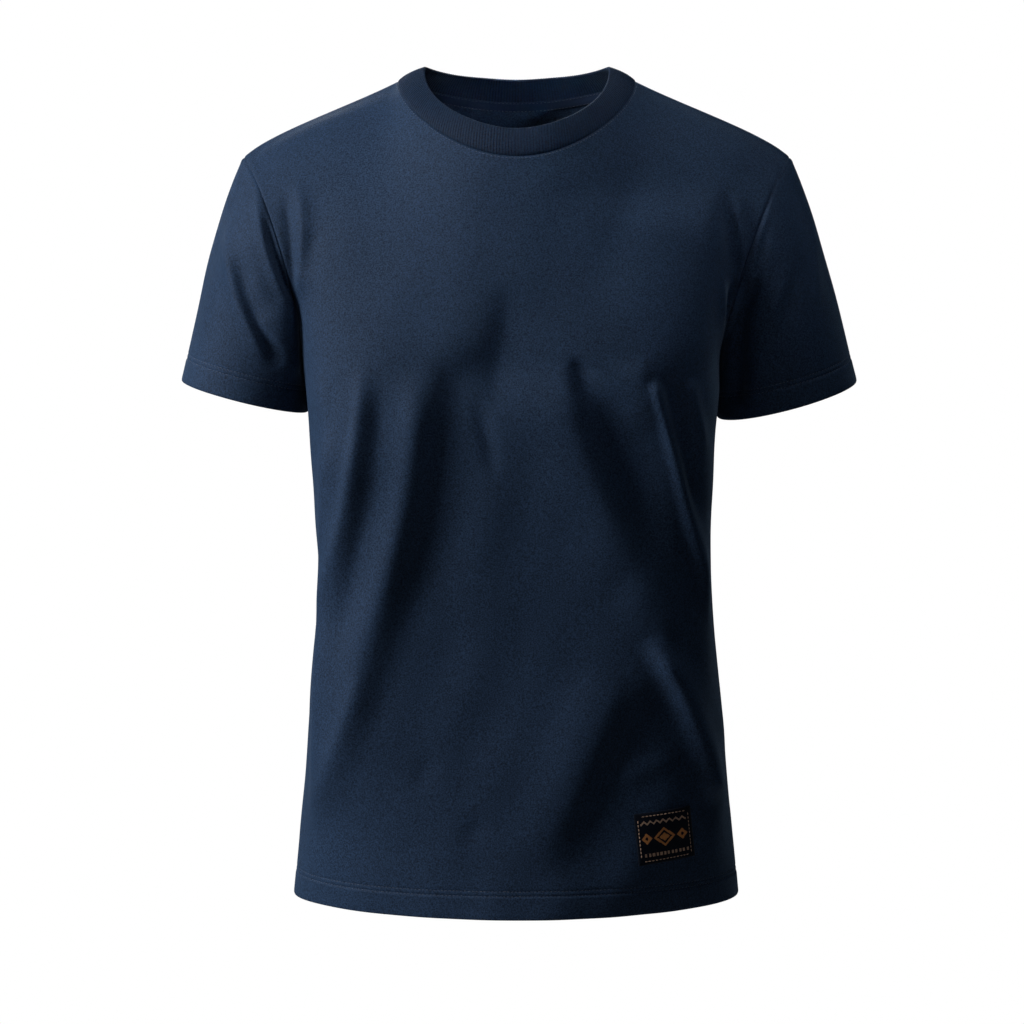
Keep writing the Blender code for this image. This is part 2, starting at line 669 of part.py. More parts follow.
def make_collar(seam_ring, paint):
    """The doubled rib band: ribs on its outer points, a rounded top edge, a plain inside."""
    base, rise, face = (seam_ring[name] for name in ("base", "rise", "face"))
    ribbed = 2 * RIBS
    relief = np.where(np.arange(ribbed) % 2 == 0, RIB_RELIEF, 0.0)[:, None]
    bulge = along(BAND, "share", "bulge", seam_ring["share"])[:, None]
    lip = RIB_WALL * 0.5
    belly = base + rise * BELLY
    shoulder = base + rise * (1 - lip * 0.6 / np.linalg.norm(rise, axis=1, keepdims=True))
    ribs = soft_ring(face, ribbed) * relief
    plain = PLAIN_COLUMNS
    loops = [
        round_ring(base, ribbed),
        soft_ring(belly + face * bulge, ribbed) + ribs,
        soft_ring(shoulder + face * bulge * 0.2, ribbed) + ribs,
        soft_ring(base + rise - face * lip, plain),
        soft_ring(shoulder - face * RIB_WALL, plain),
        soft_ring(belly + face * (bulge - RIB_WALL), plain),
        round_ring(base - seam_ring["mean"] * RIB_WALL, plain),
    ]
    first = np.cumsum([0] + [len(loop) for loop in loops])
    rings = [np.arange(len(loop)) + start for loop, start in zip(loops, first)]
    faces = []
    for a, b in zip(rings, rings[1:] + rings[:1]):
        faces += ring_strip(a, b)
    make("collar", np.concatenate(loops), faces, paint)


def pick(values, row, column):
    """Values of a grid between its points."""
    r = np.clip(row.astype(int), 0, values.shape[0] - 2)
    c = np.clip(column.astype(int), 0, values.shape[1] - 2)
    fr, fc = (row - r)[..., None], (column - c)[..., None]
    lower = values[r, c] * (1 - fc) + values[r, c + 1] * fc
    upper = values[r + 1, c] * (1 - fc) + values[r + 1, c + 1] * fc
    return lower * (1 - fr) + upper * fr


def make_tape(back_wall, paint):
    """The neck tape, on the inside of the back under the collar's seam."""
    _, inner, n = back_wall
    column = (1 + np.linspace(-TAPE["share"], TAPE["share"], TAPE["columns"])) * ACROSS / 2
    top_row = np.full_like(column, TOP)
    step = np.linalg.norm(pick(inner, top_row, column) - pick(inner, top_row - 1, column), axis=1)
    row = np.array([top_row - (TAPE["below"] + TAPE["width"] * k) / step for k in (0, 0.5, 1)])
    column = np.array([column] * len(row))
    way = unit(pick(n, row, column))
    outside = pick(inner, row, column) - way * TAPE["off"]
    make("neck_tape", *closed(outside, outside - way * TAPE["wall"]), paint)


def make_patch(front_wall, paint):
    """The patch, laid on the front. Its points' places on the front's grid are found by steps."""
    outer, _, n = front_wall
    turn = np.radians(PATCH["turn"])
    even = [np.linspace(-0.5, 0.5, PATCH[name]) for name in ("columns", "rows")]
    s, t = np.meshgrid(even[0] * PATCH["width"], even[1] * PATCH["height"])
    goal_x = PATCH["x"] + s * np.cos(turn) - t * np.sin(turn)
    goal_z = PATCH["z"] + s * np.sin(turn) + t * np.cos(turn)
    row, column = np.full(s.shape, 3.0), np.full(s.shape, 0.7 * ACROSS)
    probe = 0.01
    for _ in range(60):
        here = pick(outer, row, column)
        wide = pick(outer, row, column + probe)[..., 0] - here[..., 0]
        high = pick(outer, row + probe, column)[..., 2] - here[..., 2]
        column += np.clip(probe * (goal_x - here[..., 0]) / wide, -1, 1)
        row += np.clip(probe * (goal_z - here[..., 2]) / high, -1, 1)
    way = unit(pick(n, row, column))
    inside = pick(outer, row, column) + way * PATCH["off"]
    make("patch", *closed(inside + way * PATCH["wall"], inside), paint)


def main():
    for body in list(bpy.data.objects):
        bpy.data.objects.remove(body, do_unlink=True)
    paint = {name: material(name) for name in COLOURS}
    front, back = make_panel(-1), make_panel(1)
    sew_panels(front, back)
    sleeves = {
        "sleeve_right": sew_sleeve("right", 0, front, back),
        "sleeve_left": sew_sleeve("left", ACROSS, front, back),
    }
    collar_seam = sew_collar(front, back)
    walls = {"front": wall(front), "back": wall(back)}
    for name, (outer, inner, _) in walls.items():
        make(name, *closed(outer, inner), paint["jersey"])
    for name, piece in sleeves.items():
        outer, inner, _ = wall(piece)
        make(name, *closed(outer, inner, wrap=True), paint["jersey"])
    make_collar(collar_seam, paint["rib"])
    make_tape(walls["back"], paint["tape"])
    make_patch(walls["front"], paint["weave"])


main()
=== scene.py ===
"""Crew neck t-shirt: its cloth, its sewing and its finishes, worn over the part's solids.

Metres, +Z up, the front faces -Y and the wearer's left is +X. The origin is midway between the
two neck points, where the shoulder seams meet the collar. Every piece of cloth is worked out
from the same cut as the solids: level ovals below the underarm, and above it curves that climb
to the neckline and the shoulder seams. Folds, hems and seams are added to that form.
"""

from functools import lru_cache
from types import SimpleNamespace

import bpy
import numpy as np
from bpy.props import FloatProperty, FloatVectorProperty, IntProperty, PointerProperty
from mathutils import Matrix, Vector


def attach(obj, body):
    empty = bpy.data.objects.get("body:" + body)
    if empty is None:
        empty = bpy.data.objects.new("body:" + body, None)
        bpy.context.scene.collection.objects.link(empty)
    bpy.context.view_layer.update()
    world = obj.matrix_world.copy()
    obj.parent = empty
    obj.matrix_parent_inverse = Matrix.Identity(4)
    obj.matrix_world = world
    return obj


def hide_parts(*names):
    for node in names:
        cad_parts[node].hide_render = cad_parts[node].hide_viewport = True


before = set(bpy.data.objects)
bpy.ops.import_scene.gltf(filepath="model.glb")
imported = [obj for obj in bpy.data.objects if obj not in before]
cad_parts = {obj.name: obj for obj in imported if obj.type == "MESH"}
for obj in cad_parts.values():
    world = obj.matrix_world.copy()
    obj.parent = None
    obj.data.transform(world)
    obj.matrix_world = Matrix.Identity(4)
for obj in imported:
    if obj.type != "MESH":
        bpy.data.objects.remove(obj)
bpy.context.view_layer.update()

bl_info = {
    "name": "Crew neck t-shirt",
    "version": (1, 0, 0),
    "blender": (4, 5, 0),
    "location": "3D View > Sidebar > T-shirt",
    "description": "Makes a crew neck t-shirt piece by piece, with its folds and sewing",
    "category": "Add Mesh",
}

MM = 0.001
BODY = "root"
TAU = 2 * np.pi
UP = np.array([0.0, 0.0, 1.0])
LEVEL = np.array([1.0, 1.0, 0.0])

# Lengths down from the neck points, as in the solids
HEM_DROP = 0.7212
HEM_RISE = 0.0032  # at the side seams
UNDERARM_DROP = 0.2425
ROW_DIP = 0.0280  # how far the underarm row sinks away from the side seams
SIDE_REACH = 0.25  # from the middle of a panel to its side seam, along the cloth
NECK_SHARE = 0.5  # of a panel's top edge, taken by the neckline

# The solids' grid. Its upper rows are eased along themselves, and then most at mid height.
ACROSS = 40
LOWER_ROWS = 12
UPPER_ROWS = 11
COLUMN_PITCH = 0.0115
EASING = 3
SETTLING = 16

# Places worked out on a curve before it is read at even lengths
SEAM_PLACES = 400
OVAL_PLACES = 600
SLEEVE_PLACES = 240
FOLD_PLACES = 49

# Folds are worked out to this many widths away, crisp ones take this much off a bump's power,
# and they fade out where the cloth turns from the front or the back, by its normal's share
FOLD_REACH = 3
CRISP = 0.8
PANEL_FADE = (0.0, 0.6)
SLEEVE_FADE = (0.1, 0.6)


def table(columns, *rows):
    """A table of sizes as a dict of arrays, one for each named column."""
    return dict(zip(columns.split(), np.array(rows, float).T))


# The trunk's half widths on the wearer's right and left, its depths in front and behind, and
# the power of its section: an ellipse has 2, and more is squarer.
TRUNK = table(
    "height right left front back square",
    (-0.7212, 0.1977, 0.1967, 0.1215, 0.1155, 1.86),
    (-0.6900, 0.1945, 0.1936, 0.1205, 0.1145, 2.10),
    (-0.6180, 0.1871, 0.1862, 0.1175, 0.1110, 2.80),
    (-0.5460, 0.1824, 0.1805, 0.1145, 0.1050, 3.60),
    (-0.4930, 0.1786, 0.1750, 0.1125, 0.0995, 4.10),
    (-0.4390, 0.1731, 0.1713, 0.1120, 0.0960, 4.40),
    (-0.3860, 0.1762, 0.1702, 0.1130, 0.0970, 4.60),
    (-0.3150, 0.1806, 0.1726, 0.1170, 0.1040, 4.60),
    (-0.2900, 0.1818, 0.1740, 0.1185, 0.1070, 4.50),
    (-0.2650, 0.1846, 0.1764, 0.1200, 0.1095, 4.40),
    (-0.2425, 0.1882, 0.1770, 0.1210, 0.1115, 4.30),
    (-0.2000, 0.1940, 0.1780, 0.1215, 0.1130, 4.20),
)
SHOULDER = table(
    "x y z",
    (0.1040, 0.0, 0.0),
    (0.1500, 0.0, -0.0228),
    (0.2225, 0.0, -0.0468),
    (0.2390, 0.0, -0.0665),
)
FRONT_NECK = table(
    "x y z",
    (0.0, -0.0950, -0.0600),
    (0.0575, -0.0950, -0.0594),
    (0.1040, -0.0525, -0.0165),
    (0.1040, 0.0, 0.0),
)
BACK_NECK = table(
    "x y z",
    (0.0, 0.0780, -0.0206),
    (0.0575, 0.0780, -0.0208),
    (0.1040, 0.0431, 0.0005),
    (0.1040, 0.0, 0.0),
)
# How the columns of a panel leave the underarm row, and how they arrive at its top edge, by the
# share of the way from the middle (0) to the side seam (1)
RISE = table(
    "share lean reach",
    (0.00, 0.00, 0.070),
    (0.35, 0.02, 0.075),
    (0.60, 0.16, 0.080),
    (0.80, 0.46, 0.075),
    (0.92, 0.76, 0.075),
    (1.00, 0.95, 0.086),
)
FRONT_ARRIVE = table(
    "share out back up reach",
    (0.00, 0.00, 0.38, 0.92, 0.045),
    (0.25, -0.33, 0.52, 0.79, 0.050),
    (0.40, -0.50, 0.58, 0.66, 0.055),
    (0.50, -0.42, 0.76, 0.50, 0.062),
    (0.60, -0.14, 0.93, 0.34, 0.070),
    (0.75, 0.04, 0.96, 0.28, 0.072),
    (0.90, 0.18, 0.94, 0.30, 0.078),
    (1.00, 0.30, 0.90, 0.32, 0.086),
)
BACK_ARRIVE = table(
    "share out back up reach",
    (0.00, 0.00, 0.50, 0.86, 0.060),
    (0.25, -0.33, 0.55, 0.80, 0.060),
    (0.40, -0.50, 0.60, 0.66, 0.060),
    (0.50, -0.42, 0.76, 0.50, 0.064),
    (0.60, -0.14, 0.93, 0.34, 0.070),
    (0.75, 0.04, 0.96, 0.28, 0.072),
    (0.90, 0.18, 0.94, 0.30, 0.076),
    (1.00, 0.30, 0.90, 0.32, 0.082),
)
# The cuffs: the middle of the opening, its tilt in degrees, its half width and depths, how far
# its front hangs down, and how strongly the sleeve bows on its way there
CUFF = {
    "right": dict(
        sign=-1, x=0.2390, z=-0.2760, tilt=14.0, across=0.0569, front=0.0610, back=0.0600,
        hang=0.0, bow=1.10,
    ),
    "left": dict(
        sign=1, x=0.2376, z=-0.2785, tilt=14.8, across=0.0632, front=0.0620, back=0.0600,
        hang=0.0038, bow=0.95,
    ),
}
# How a sleeve leaves the armhole, from the top (0) to the underarm (1)
CROWN = table(
    "share out on down reach end",
    (0.00, 0.45, 0.00, 0.89, 0.055, 0.060),
    (0.25, 0.42, 0.34, 0.84, 0.050, 0.060),
    (0.45, 0.34, 0.22, 0.91, 0.045, 0.050),
    (0.65, 0.16, 0.16, 0.97, 0.035, 0.035),
    (0.85, 0.10, 0.10, 0.99, 0.024, 0.022),
    (1.00, 0.16, 0.00, 0.98, 0.018, 0.016),
)
# The collar's band, from centre front (0) to centre back (1)
BAND = table(
    "share inward up bulge",
    (0.00, 0.0070, 0.0235, 0.0012),
    (0.10, 0.0074, 0.0234, 0.0012),
    (0.25, 0.0126, 0.0203, 0.0014),
    (0.38, 0.0196, 0.0156, 0.0016),
    (0.50, 0.0234, 0.0128, 0.0018),
    (0.62, 0.0228, 0.0138, 0.0016),
    (0.75, 0.0190, 0.0165, 0.0014),
    (0.90, 0.0134, 0.0196, 0.0012),
    (1.00, 0.0130, 0.0198, 0.0012),
)

# Folds in millimetres: x and drop below the neck points at the start, the middle and the end,
# how wide on the wearer's right and on the wearer's left of the line, and how high.
FOLD_COLUMNS = "x1 d1 x2 d2 x3 d3 right left high near far crisp"
FRONT_FOLDS = table(
    FOLD_COLUMNS,
    # the front hangs flat and turns quickly at its side
    (-160, 250, -164, 430, -176, 668, 9, 55, 9.0, 0.25, 0.20, 0.0),
    # from the wearer's right underarm and the chest above it
    (-136, 230, -141, 335, -173, 490, 6, 11, 6.0, 0.30, 0.30, 0.2),
    (-118, 238, -131, 370, -168, 560, 9, 9, -2.0, 0.25, 0.25, 0.2),
    (-86, 236, -103, 390, -169, 620, 15, 17, 8.8, 0.22, 0.45, 0.0),
    (-58, 216, -75, 350, -124, 520, 12, 28, -2.2, 0.32, 0.50, 0.0),
    (-126, 480, -150, 570, -186, 655, 9, 13, 5.0, 0.35, 0.25, 0.3),
    (-156, 245, -159, 280, -166, 330, 7, 7, -2.0, 0.35, 0.35, 0.0),
    # under the middle of the chest
    (-2, 160, -12, 215, -24, 310, 14, 34, -5.5, 0.50, 0.45, 0.3),
    (-14, 216, -40, 246, -74, 262, 16, 30, -3.0, 0.35, 0.30, 0.0),
    (-38, 262, -27, 300, -18, 340, 6, 8, -2.2, 0.40, 0.40, 0.0),
    (-24, 290, -27, 400, -42, 540, 26, 30, 1.8, 0.35, 0.35, 0.0),
    (36, 232, 60, 325, 124, 455, 40, 22, 6.5, 0.30, 0.40, 0.2),
    (56, 230, 54, 252, 70, 284, 7, 15, -4.5, 0.30, 0.50, 0.0),
    (68, 236, 93, 325, 160, 450, 20, 34, -8.0, 0.45, 0.45, 0.0),
    (102, 228, 108, 262, 122, 304, 26, 9, 3.5, 0.35, 0.40, 0.0),
    # from the wearer's left underarm and the chest above it
    (158, 80, 148, 180, 108, 300, 76, 27, 11.0, 0.30, 0.35, 0.0),
    (114, 250, 139, 332, 173, 486, 4, 9, 7.5, 0.12, 0.22, 0.0),
    (127, 244, 142, 308, 166, 400, 8, 9, -6.0, 0.14, 0.30, 0.0),
    (145, 250, 153, 280, 166, 328, 4, 6, 4.0, 0.25, 0.35, 0.0),
    (86, 425, 118, 455, 160, 480, 16, 20, 2.0, 0.35, 0.35, 0.0),
    # low on the wearer's left
    (84, 500, 66, 572, 18, 672, 40, 16, 4.0, 0.35, 0.35, 0.0),
    (152, 510, 94, 590, 44, 705, 24, 40, -6.5, 0.20, 0.20, 0.0),
    (111, 474, 151, 545, 174, 632, 8, 13, 11.0, 0.25, 0.15, 0.1),
    (88, 606, 112, 592, 150, 578, 9, 12, 2.2, 0.35, 0.35, 0.0),
    # beside the armholes
    (-204, 92, -197, 130, -194, 182, 5, 5, -3.5, 0.35, 0.30, 0.2),
    (-194, 80, -185, 125, -190, 192, 6, 8, 4.0, 0.35, 0.20, 0.5),
    (-172, 118, -180, 145, -184, 172, 7, 9, -2.2, 0.35, 0.35, 0.0),
    (182, 84, 183, 126, 192, 172, 7, 5, -3.0, 0.40, 0.20, 0.2),
    (192, 90, 193, 128, 199, 165, 5, 5, 2.6, 0.35, 0.30, 0.5),
    (176, 158, 177, 200, 176, 246, 5, 4, 2.5, 0.30, 0.30, 0.6),
    (188, 160, 187, 200, 184, 250, 6, 8, -7.0, 0.30, 0.30, 0.0),
    # faint, low on the front
    (-72, 570, -80, 592, -92, 616, 9, 11, -1.0, 0.4, 0.4, 0.0),
    (-28, 628, -37, 643, -54, 662, 9, 11, -1.2, 0.4, 0.4, 0.0),
)
BACK_FOLDS = table(
    FOLD_COLUMNS,
    (-124, 225, -126, 330, -158, 520, 14, 18, 5.0, 0.35, 0.35, 0.2),
    (-70, 260, -86, 380, -120, 560, 18, 16, -4.5, 0.35, 0.35, 0.2),
    (92, 240, 108, 360, 150, 560, 16, 20, 6.0, 0.35, 0.35, 0.2),
    (140, 220, 144, 300, 156, 400, 9, 10, 3.0, 0.35, 0.35, 0.2),
    (58, 300, 62, 420, 78, 560, 18, 18, -4.0, 0.35, 0.35, 0.2),
    (-30, 330, -24, 460, -34, 640, 26, 24, 4.0, 0.35, 0.35, 0.2),
    (-196, 96, -184, 140, -182, 180, 11, 11, -3.0, 0.35, 0.35, 0.2),
    (196, 96, 184, 140, 182, 180, 11, 11, -3.0, 0.35, 0.35, 0.2),
)
# On the sleeves "side" is -1 for the front half and 1 for the back half.
SLEEVE_FOLDS = {
    "right": table(
        FOLD_COLUMNS + " side",
        (-252, 108, -244, 176, -211, 246, 6, 7, 5.4, 0.35, 0.20, 0.6, -1),
        (-239, 140, -235, 188, -198, 256, 7, 10, -5.5, 0.35, 0.20, 0.2, -1),
        (-226, 88, -216, 145, -194, 200, 5, 6, 5.2, 0.30, 0.25, 0.6, -1),
        (-219, 104, -209, 150, -192, 190, 6, 6, -4.5, 0.35, 0.25, 0.2, -1),
        (-224, 72, -210, 118, -194, 178, 5, 5, 1.8, 0.35, 0.35, 0.5, -1),
        (-226, 196, -214, 214, -198, 230, 4, 5, 2.0, 0.35, 0.35, 0.4, -1),
        (-206, 180, -199, 215, -195, 262, 14, 12, 5.0, 0.35, 0.20, 0.0, -1),
        (-246, 120, -232, 190, -206, 250, 10, 10, 2.6, 0.35, 0.35, 0.5, 1),
        (-228, 110, -216, 165, -196, 215, 9, 9, -2.6, 0.35, 0.35, 0.5, 1),
    ),
    "left": table(
        FOLD_COLUMNS + " side",
        (222, 96, 209, 140, 199, 180, 5, 6, 3.0, 0.35, 0.30, 0.6, -1),
        (219, 110, 210, 155, 199, 210, 5, 6, -2.6, 0.35, 0.35, 0.2, -1),
        (224, 112, 216, 152, 206, 200, 6, 6, 1.8, 0.35, 0.35, 0.3, -1),
        (239, 158, 226, 186, 216, 220, 7, 8, 1.8, 0.35, 0.35, 0.3, -1),
        (246, 140, 236, 192, 210, 248, 7, 8, -2.4, 0.35, 0.35, 0.2, -1),
        (256, 112, 261, 162, 256, 212, 4, 7, 2.4, 0.35, 0.35, 0.8, -1),
        (200, 165, 191, 215, 187, 290, 10, 12, -9.0, 0.25, 0.10, 0.0, -1),
        (250, 120, 238, 180, 212, 246, 10, 10, 2.8, 0.35, 0.35, 0.5, 1),
        (230, 110, 218, 160, 198, 210, 9, 9, -2.6, 0.35, 0.35, 0.5, 1),
    ),
}
RIB_PITCH = 0.0023  # a rib's width in the collar's flat coordinates
PATCH_PLACE = dict(off=0.0006, x=0.1280, z=-0.6508, turn=6.0)
TAPE_PLACE = dict(below=0.0006, off=0.0004, share=0.44)

# Unevenness of the cloth: how many waves, their lengths and their height
PANEL_RIPPLE = dict(count=22, shortest=0.045, longest=0.16, height=0.55 * MM)
SLEEVE_RIPPLE = dict(count=16, shortest=0.04, longest=0.12, height=0.25 * MM)

# A sewn edge: how deep and wide the cloth dips, and how it rides over the allowance beside it
SEAM_DIP, SEAM_WIDTH = 0.7 * MM, 0.9 * MM
RIDE, RIDE_PLACE, RIDE_WIDTH = 0.35 * MM, 3.2 * MM, 2.2 * MM

# A hem: how far its stitches pull the cloth in, with two lengths of pucker (height, length,
# start), how wide the dip is, how proud the doubled cloth stands, how far above the stitches
# it ends and how sharply
PULL, PUCKERS = 0.35 * MM, ((0.12 * MM, 0.0061, 0.0), (0.10 * MM, 0.0087, 1.7))
PULL_WIDTH = 0.8 * MM
PROUD = 0.35 * MM
BEYOND = 1.5 * MM
WALL_STEP = 0.4 * MM

# No fold comes nearer than this to a side seam, below and above the underarm, to a panel's top
# edge and to a sleeve's; the sleeve's form meets the armhole over the last distance
STILL_LOW, STILL_HIGH, STILL_TOP, STILL_SLEEVE = 9 * MM, 5 * MM, 16 * MM, 6 * MM
MEETING = 15 * MM
SIDE_COLUMN = {"right": 0, "left": -1}  # of a panel, beside each sleeve

# The collar's profile: shares of its height, where it is fullest and how full its top is, how
# deep it is drawn in at the seam, over which distances its turns are eased, where the ribs
# start, and how finely a rib and the top edge are divided
BAND_UP = np.array([0.0, 0.03, 0.07, 0.14, 0.24, 0.36, 0.5, 0.64, 0.78, 0.9, 1.0])
BAND_FULL, BAND_TOP = 0.45, 0.2
BAND_DIP = 0.5 * MM
BAND_EASE, SEAM_EASE = 2.2 * MM, 5.0 * MM
RIB_START = 0.06
RIB_ROUND = 0.7  # below 1, the ribs are broader than the hollows between them
RIB_STATIONS = 6
TOP_STEPS = 9

# Stitches: corners and stations of a thread, how deep it lies, how uneven its start is as a
# share of the pitch, how thin its ends are, how it arches and dives, and its flatness; then
# the thicker thread round the patch and how many rows of points it lies inside the edge
SIDES, STATIONS = 6, 5
SINK = 0.05 * MM
UNEVEN = 0.04
END, ARCH, DIVE, FLATNESS = 0.12, 1.3, 0.62, 0.8
BORDER_THREAD = 0.85 * MM
BORDER_INSET = 3

# The neck tape's wall: stations across it, its thickness at the edge and what its middle adds
TAPE_STATIONS, TAPE_WALL, TAPE_CROWN = 13, 0.45 * MM, 0.2 * MM
# The patch's wall: its thickness at the edge, what its middle adds and over which distance;
# then how many steps find its place on the front, from which row and share of the columns
PATCH_COLUMNS, PATCH_ROWS = 51, 47
PATCH_WALL, PATCH_PUFF, PATCH_ROUNDING = 0.35 * MM, 0.45 * MM, (-0.2 * MM, 1.6 * MM)
PATCH_SEARCH, PATCH_START = 60, (48.0, 0.8)


# Sizes and colours that a user may change


def length(name, description, default):
    return FloatProperty(
        name=name, description=description, default=default, min=0.0, unit="LENGTH", precision=5
    )


def colour(name, description, default):
    return FloatVectorProperty(
        name=name, description=description, default=default, size=4, min=0.0, max=1.0,
        subtype="COLOR",
    )


class ShirtSizes(bpy.types.PropertyGroup):
    jersey: length("Jersey", "Thickness of the panels and sleeves", 0.0010)
    hem: length("Hem", "Depth of the turned-up hem to its lower row of stitches", 0.0210)
    cuff: length("Sleeve hem", "Depth of the sleeves' hems to their lower row", 0.0205)
    twin: length("Twin needles", "Distance between the two rows of a hem", 0.0042)
    rib_wall: length("Collar", "Thickness of the doubled rib band", 0.0022)
    rib_relief: length("Rib relief", "How far the collar's ribs stand out", 0.00036)
    ribs: IntProperty(
        name="Ribs", description="Ribs round the collar", default=236, min=60, max=400
    )
    topstitch: length("Topstitch", "Distance of the topstitching from the collar's seam", 0.0020)
    stitch: length("Stitch", "Length of one stitch", 0.0027)
    stitch_pitch: length("Stitch pitch", "From one stitch to the next", 0.0034)
    thread: length("Thread", "Thickness of the sewing thread", 0.00038)
    tape: length("Neck tape", "Width of the tape inside the back neck", 0.0095)
    patch_width: length("Patch width", "Width of the woven patch", 0.0492)
    patch_height: length("Patch height", "Height of the woven patch", 0.0458)
    fold_strength: FloatProperty(
        name="Folds", description="How strongly the cloth is folded", default=1.0, min=0.0, max=1.5
    )


class ShirtColours(bpy.types.PropertyGroup):
    jersey: colour("Jersey", "Navy of the panels and sleeves", (0.0121, 0.0262, 0.0560, 1.0))
    rib: colour("Rib", "Navy of the collar", (0.0040, 0.0115, 0.0285, 1.0))
    tape: colour("Tape", "Navy of the neck tape", (0.0085, 0.0170, 0.0400, 1.0))
    thread: colour("Thread", "Navy sewing thread", (0.0290, 0.0460, 0.0880, 1.0))
    patch: colour("Patch", "Ground of the woven patch", (0.0040, 0.0062, 0.0120, 1.0))
    gold: colour("Patch picture", "Bronze thread of the patch", (0.4400, 0.1850, 0.0640, 1.0))
    tan: colour("Patch lines", "Pale thread of the patch", (0.3800, 0.2550, 0.1850, 1.0))


# Lines and curves


def unit(a):
    return a / np.maximum(np.linalg.norm(a, axis=-1, keepdims=True), 1e-12)


def smooth(low, high, x):
    """0 below low and 1 above high, with an S-shaped step between: t squared times (3 - 2t)."""
    t = np.clip((x - low) / (high - low), 0.0, 1.0)
    return t * t * (3.0 - 2.0 * t)


def bell(x, width, power=2.0):
    """A bump: e to the power of minus (x / width) to a power, rounded at 2 and crisp near 1."""
    return np.exp(-(np.abs(x / width) ** power))


def along(rows, name, at):
    """One column of a table, read smoothly by its first one as cubic Hermite pieces."""
    x, y = next(iter(rows.values())), rows[name]
    slope = np.gradient(y, x)
    i = np.clip(np.searchsorted(x, at) - 1, 0, len(x) - 2)
    h = x[i + 1] - x[i]
    t = np.clip((at - x[i]) / h, 0.0, 1.0)
    s = 1.0 - t
    return (
        (1 + 2 * t) * s * s * y[i]
        + t * s * s * h * slope[i]
        + t * t * (3 - 2 * t) * y[i + 1]
        - t * t * s * h * slope[i + 1]
    )


def bezier(p0, p1, p2, p3, t):
    """A cubic curve: each control point weighted by its share of (s + t) cubed, s = 1 - t."""
    s = 1.0 - t
    return s**3 * p0 + 3 * s * s * t * p1 + 3 * s * t * t * p2 + t**3 * p3


def run(points, axis=0):
    """Length along a grid of points, from its first row or column."""
    steps = np.linalg.norm(np.diff(points, axis=axis), axis=-1)
    first = np.zeros_like(np.take(steps, [0], axis=axis))
    return np.cumsum(np.concatenate([first, steps], axis=axis), axis=axis)


def read(points, far, at):
    """Points of a line at lengths along it, straight between its own."""
    return np.stack([np.interp(at, far, points[:, k]) for k in range(3)], -1)


def seam(rows, share):
    """Points on a seam's cubic curve at even shares of its length."""
    control = np.stack([rows["x"], rows["y"], rows["z"]], 1)
    t = np.linspace(0, 1, SEAM_PLACES)
    far = run(bezier(*control, t[:, None]))
    return bezier(*control, np.interp(share, far / far[-1], t)[:, None])


def between(values, at, wrap=False):
    """Values read between their places on the first axis by Catmull-Rom curves: each piece is
    the cubic that passes through its two ends with half the step between their neighbours as
    slopes. "at" has one place for all columns, or a place for each."""
    count = len(values)
    whole = np.floor(at).astype(int)
    if wrap:
        near = [(whole + k) % count for k in (-1, 0, 1, 2)]
    else:
        ends = 2 * values[[0, -1]] - values[[1, -2]]
        values = np.concatenate([ends[:1], values, ends[1:]])
        whole = np.clip(whole, 0, count - 2)
        near = [whole + k for k in range(4)]
    if at.ndim > 1:
        p0, p1, p2, p3 = (values[k, np.arange(values.shape[1])] for k in near)
    else:
        p0, p1, p2, p3 = (values[k] for k in near)
    t = (at - whole).reshape(at.shape + (1,) * (p0.ndim - at.ndim))
    bend = p0 - 2.5 * p1 + 2 * p2 - 0.5 * p3
    return p1 + 0.5 * t * (p2 - p0) + t * t * bend + t**3 * (1.5 * (p1 - p2) + 0.5 * (p3 - p0))


# The cut


def oval(angle, height, side, facing):
    """The trunk's section, a superellipse: x is the half width times sin(angle) to the power
    2 / square, y the depth times cos(angle) to the same power."""
    power = 2.0 / along(TRUNK, "square", height)
    depth = along(TRUNK, "front" if facing < 0 else "back", height)
    half = along(TRUNK, side, height)
    return half * np.sin(angle) ** power, facing * depth * np.cos(angle).clip(0) ** power


def ring_angle(share, height, facing):
    """Angle on the oval at even shares of its half length, 0 at the centre."""
    t = np.linspace(0, np.pi / 2, OVAL_PLACES)
    out = []
    for side in ("right", "left"):
        x, y = oval(t, np.full_like(t, height), side, facing)
        far = run(np.stack([x, y], -1))
        out.append(np.interp(np.abs(share), far / far[-1], t))
    return np.where(share < 0, out[0], out[1])


def trunk(share, angle, height, facing):
    """Points of the trunk below the underarm."""
    xr, y = oval(angle, height, "right", facing)
    xl, _ = oval(angle, height, "left", facing)
    return np.stack([np.where(share < 0, -xr, xl), y, height], -1)


def underarm_height(share):
    """The underarm row sinks quickly away from the side seams: by the dip times 1 minus e to
    the power of minus the distance over the dip."""
    away = SIDE_REACH * (1 - np.abs(share))
    return -UNDERARM_DROP - ROW_DIP * (1 - np.exp(-away / ROW_DIP))


def panel_top(share, facing):
    """The neckline over the middle of a panel and the shoulder seams outside it."""
    size = np.abs(share)
    neck = seam(FRONT_NECK if facing < 0 else BACK_NECK, np.clip(size / NECK_SHARE, 0, 1))
    slope = seam(SHOULDER, np.clip((size - NECK_SHARE) / (1 - NECK_SHARE), 0, 1))
    out = np.where((size <= NECK_SHARE)[:, None], neck, slope)
    out[:, 0] *= np.sign(share)
    return out


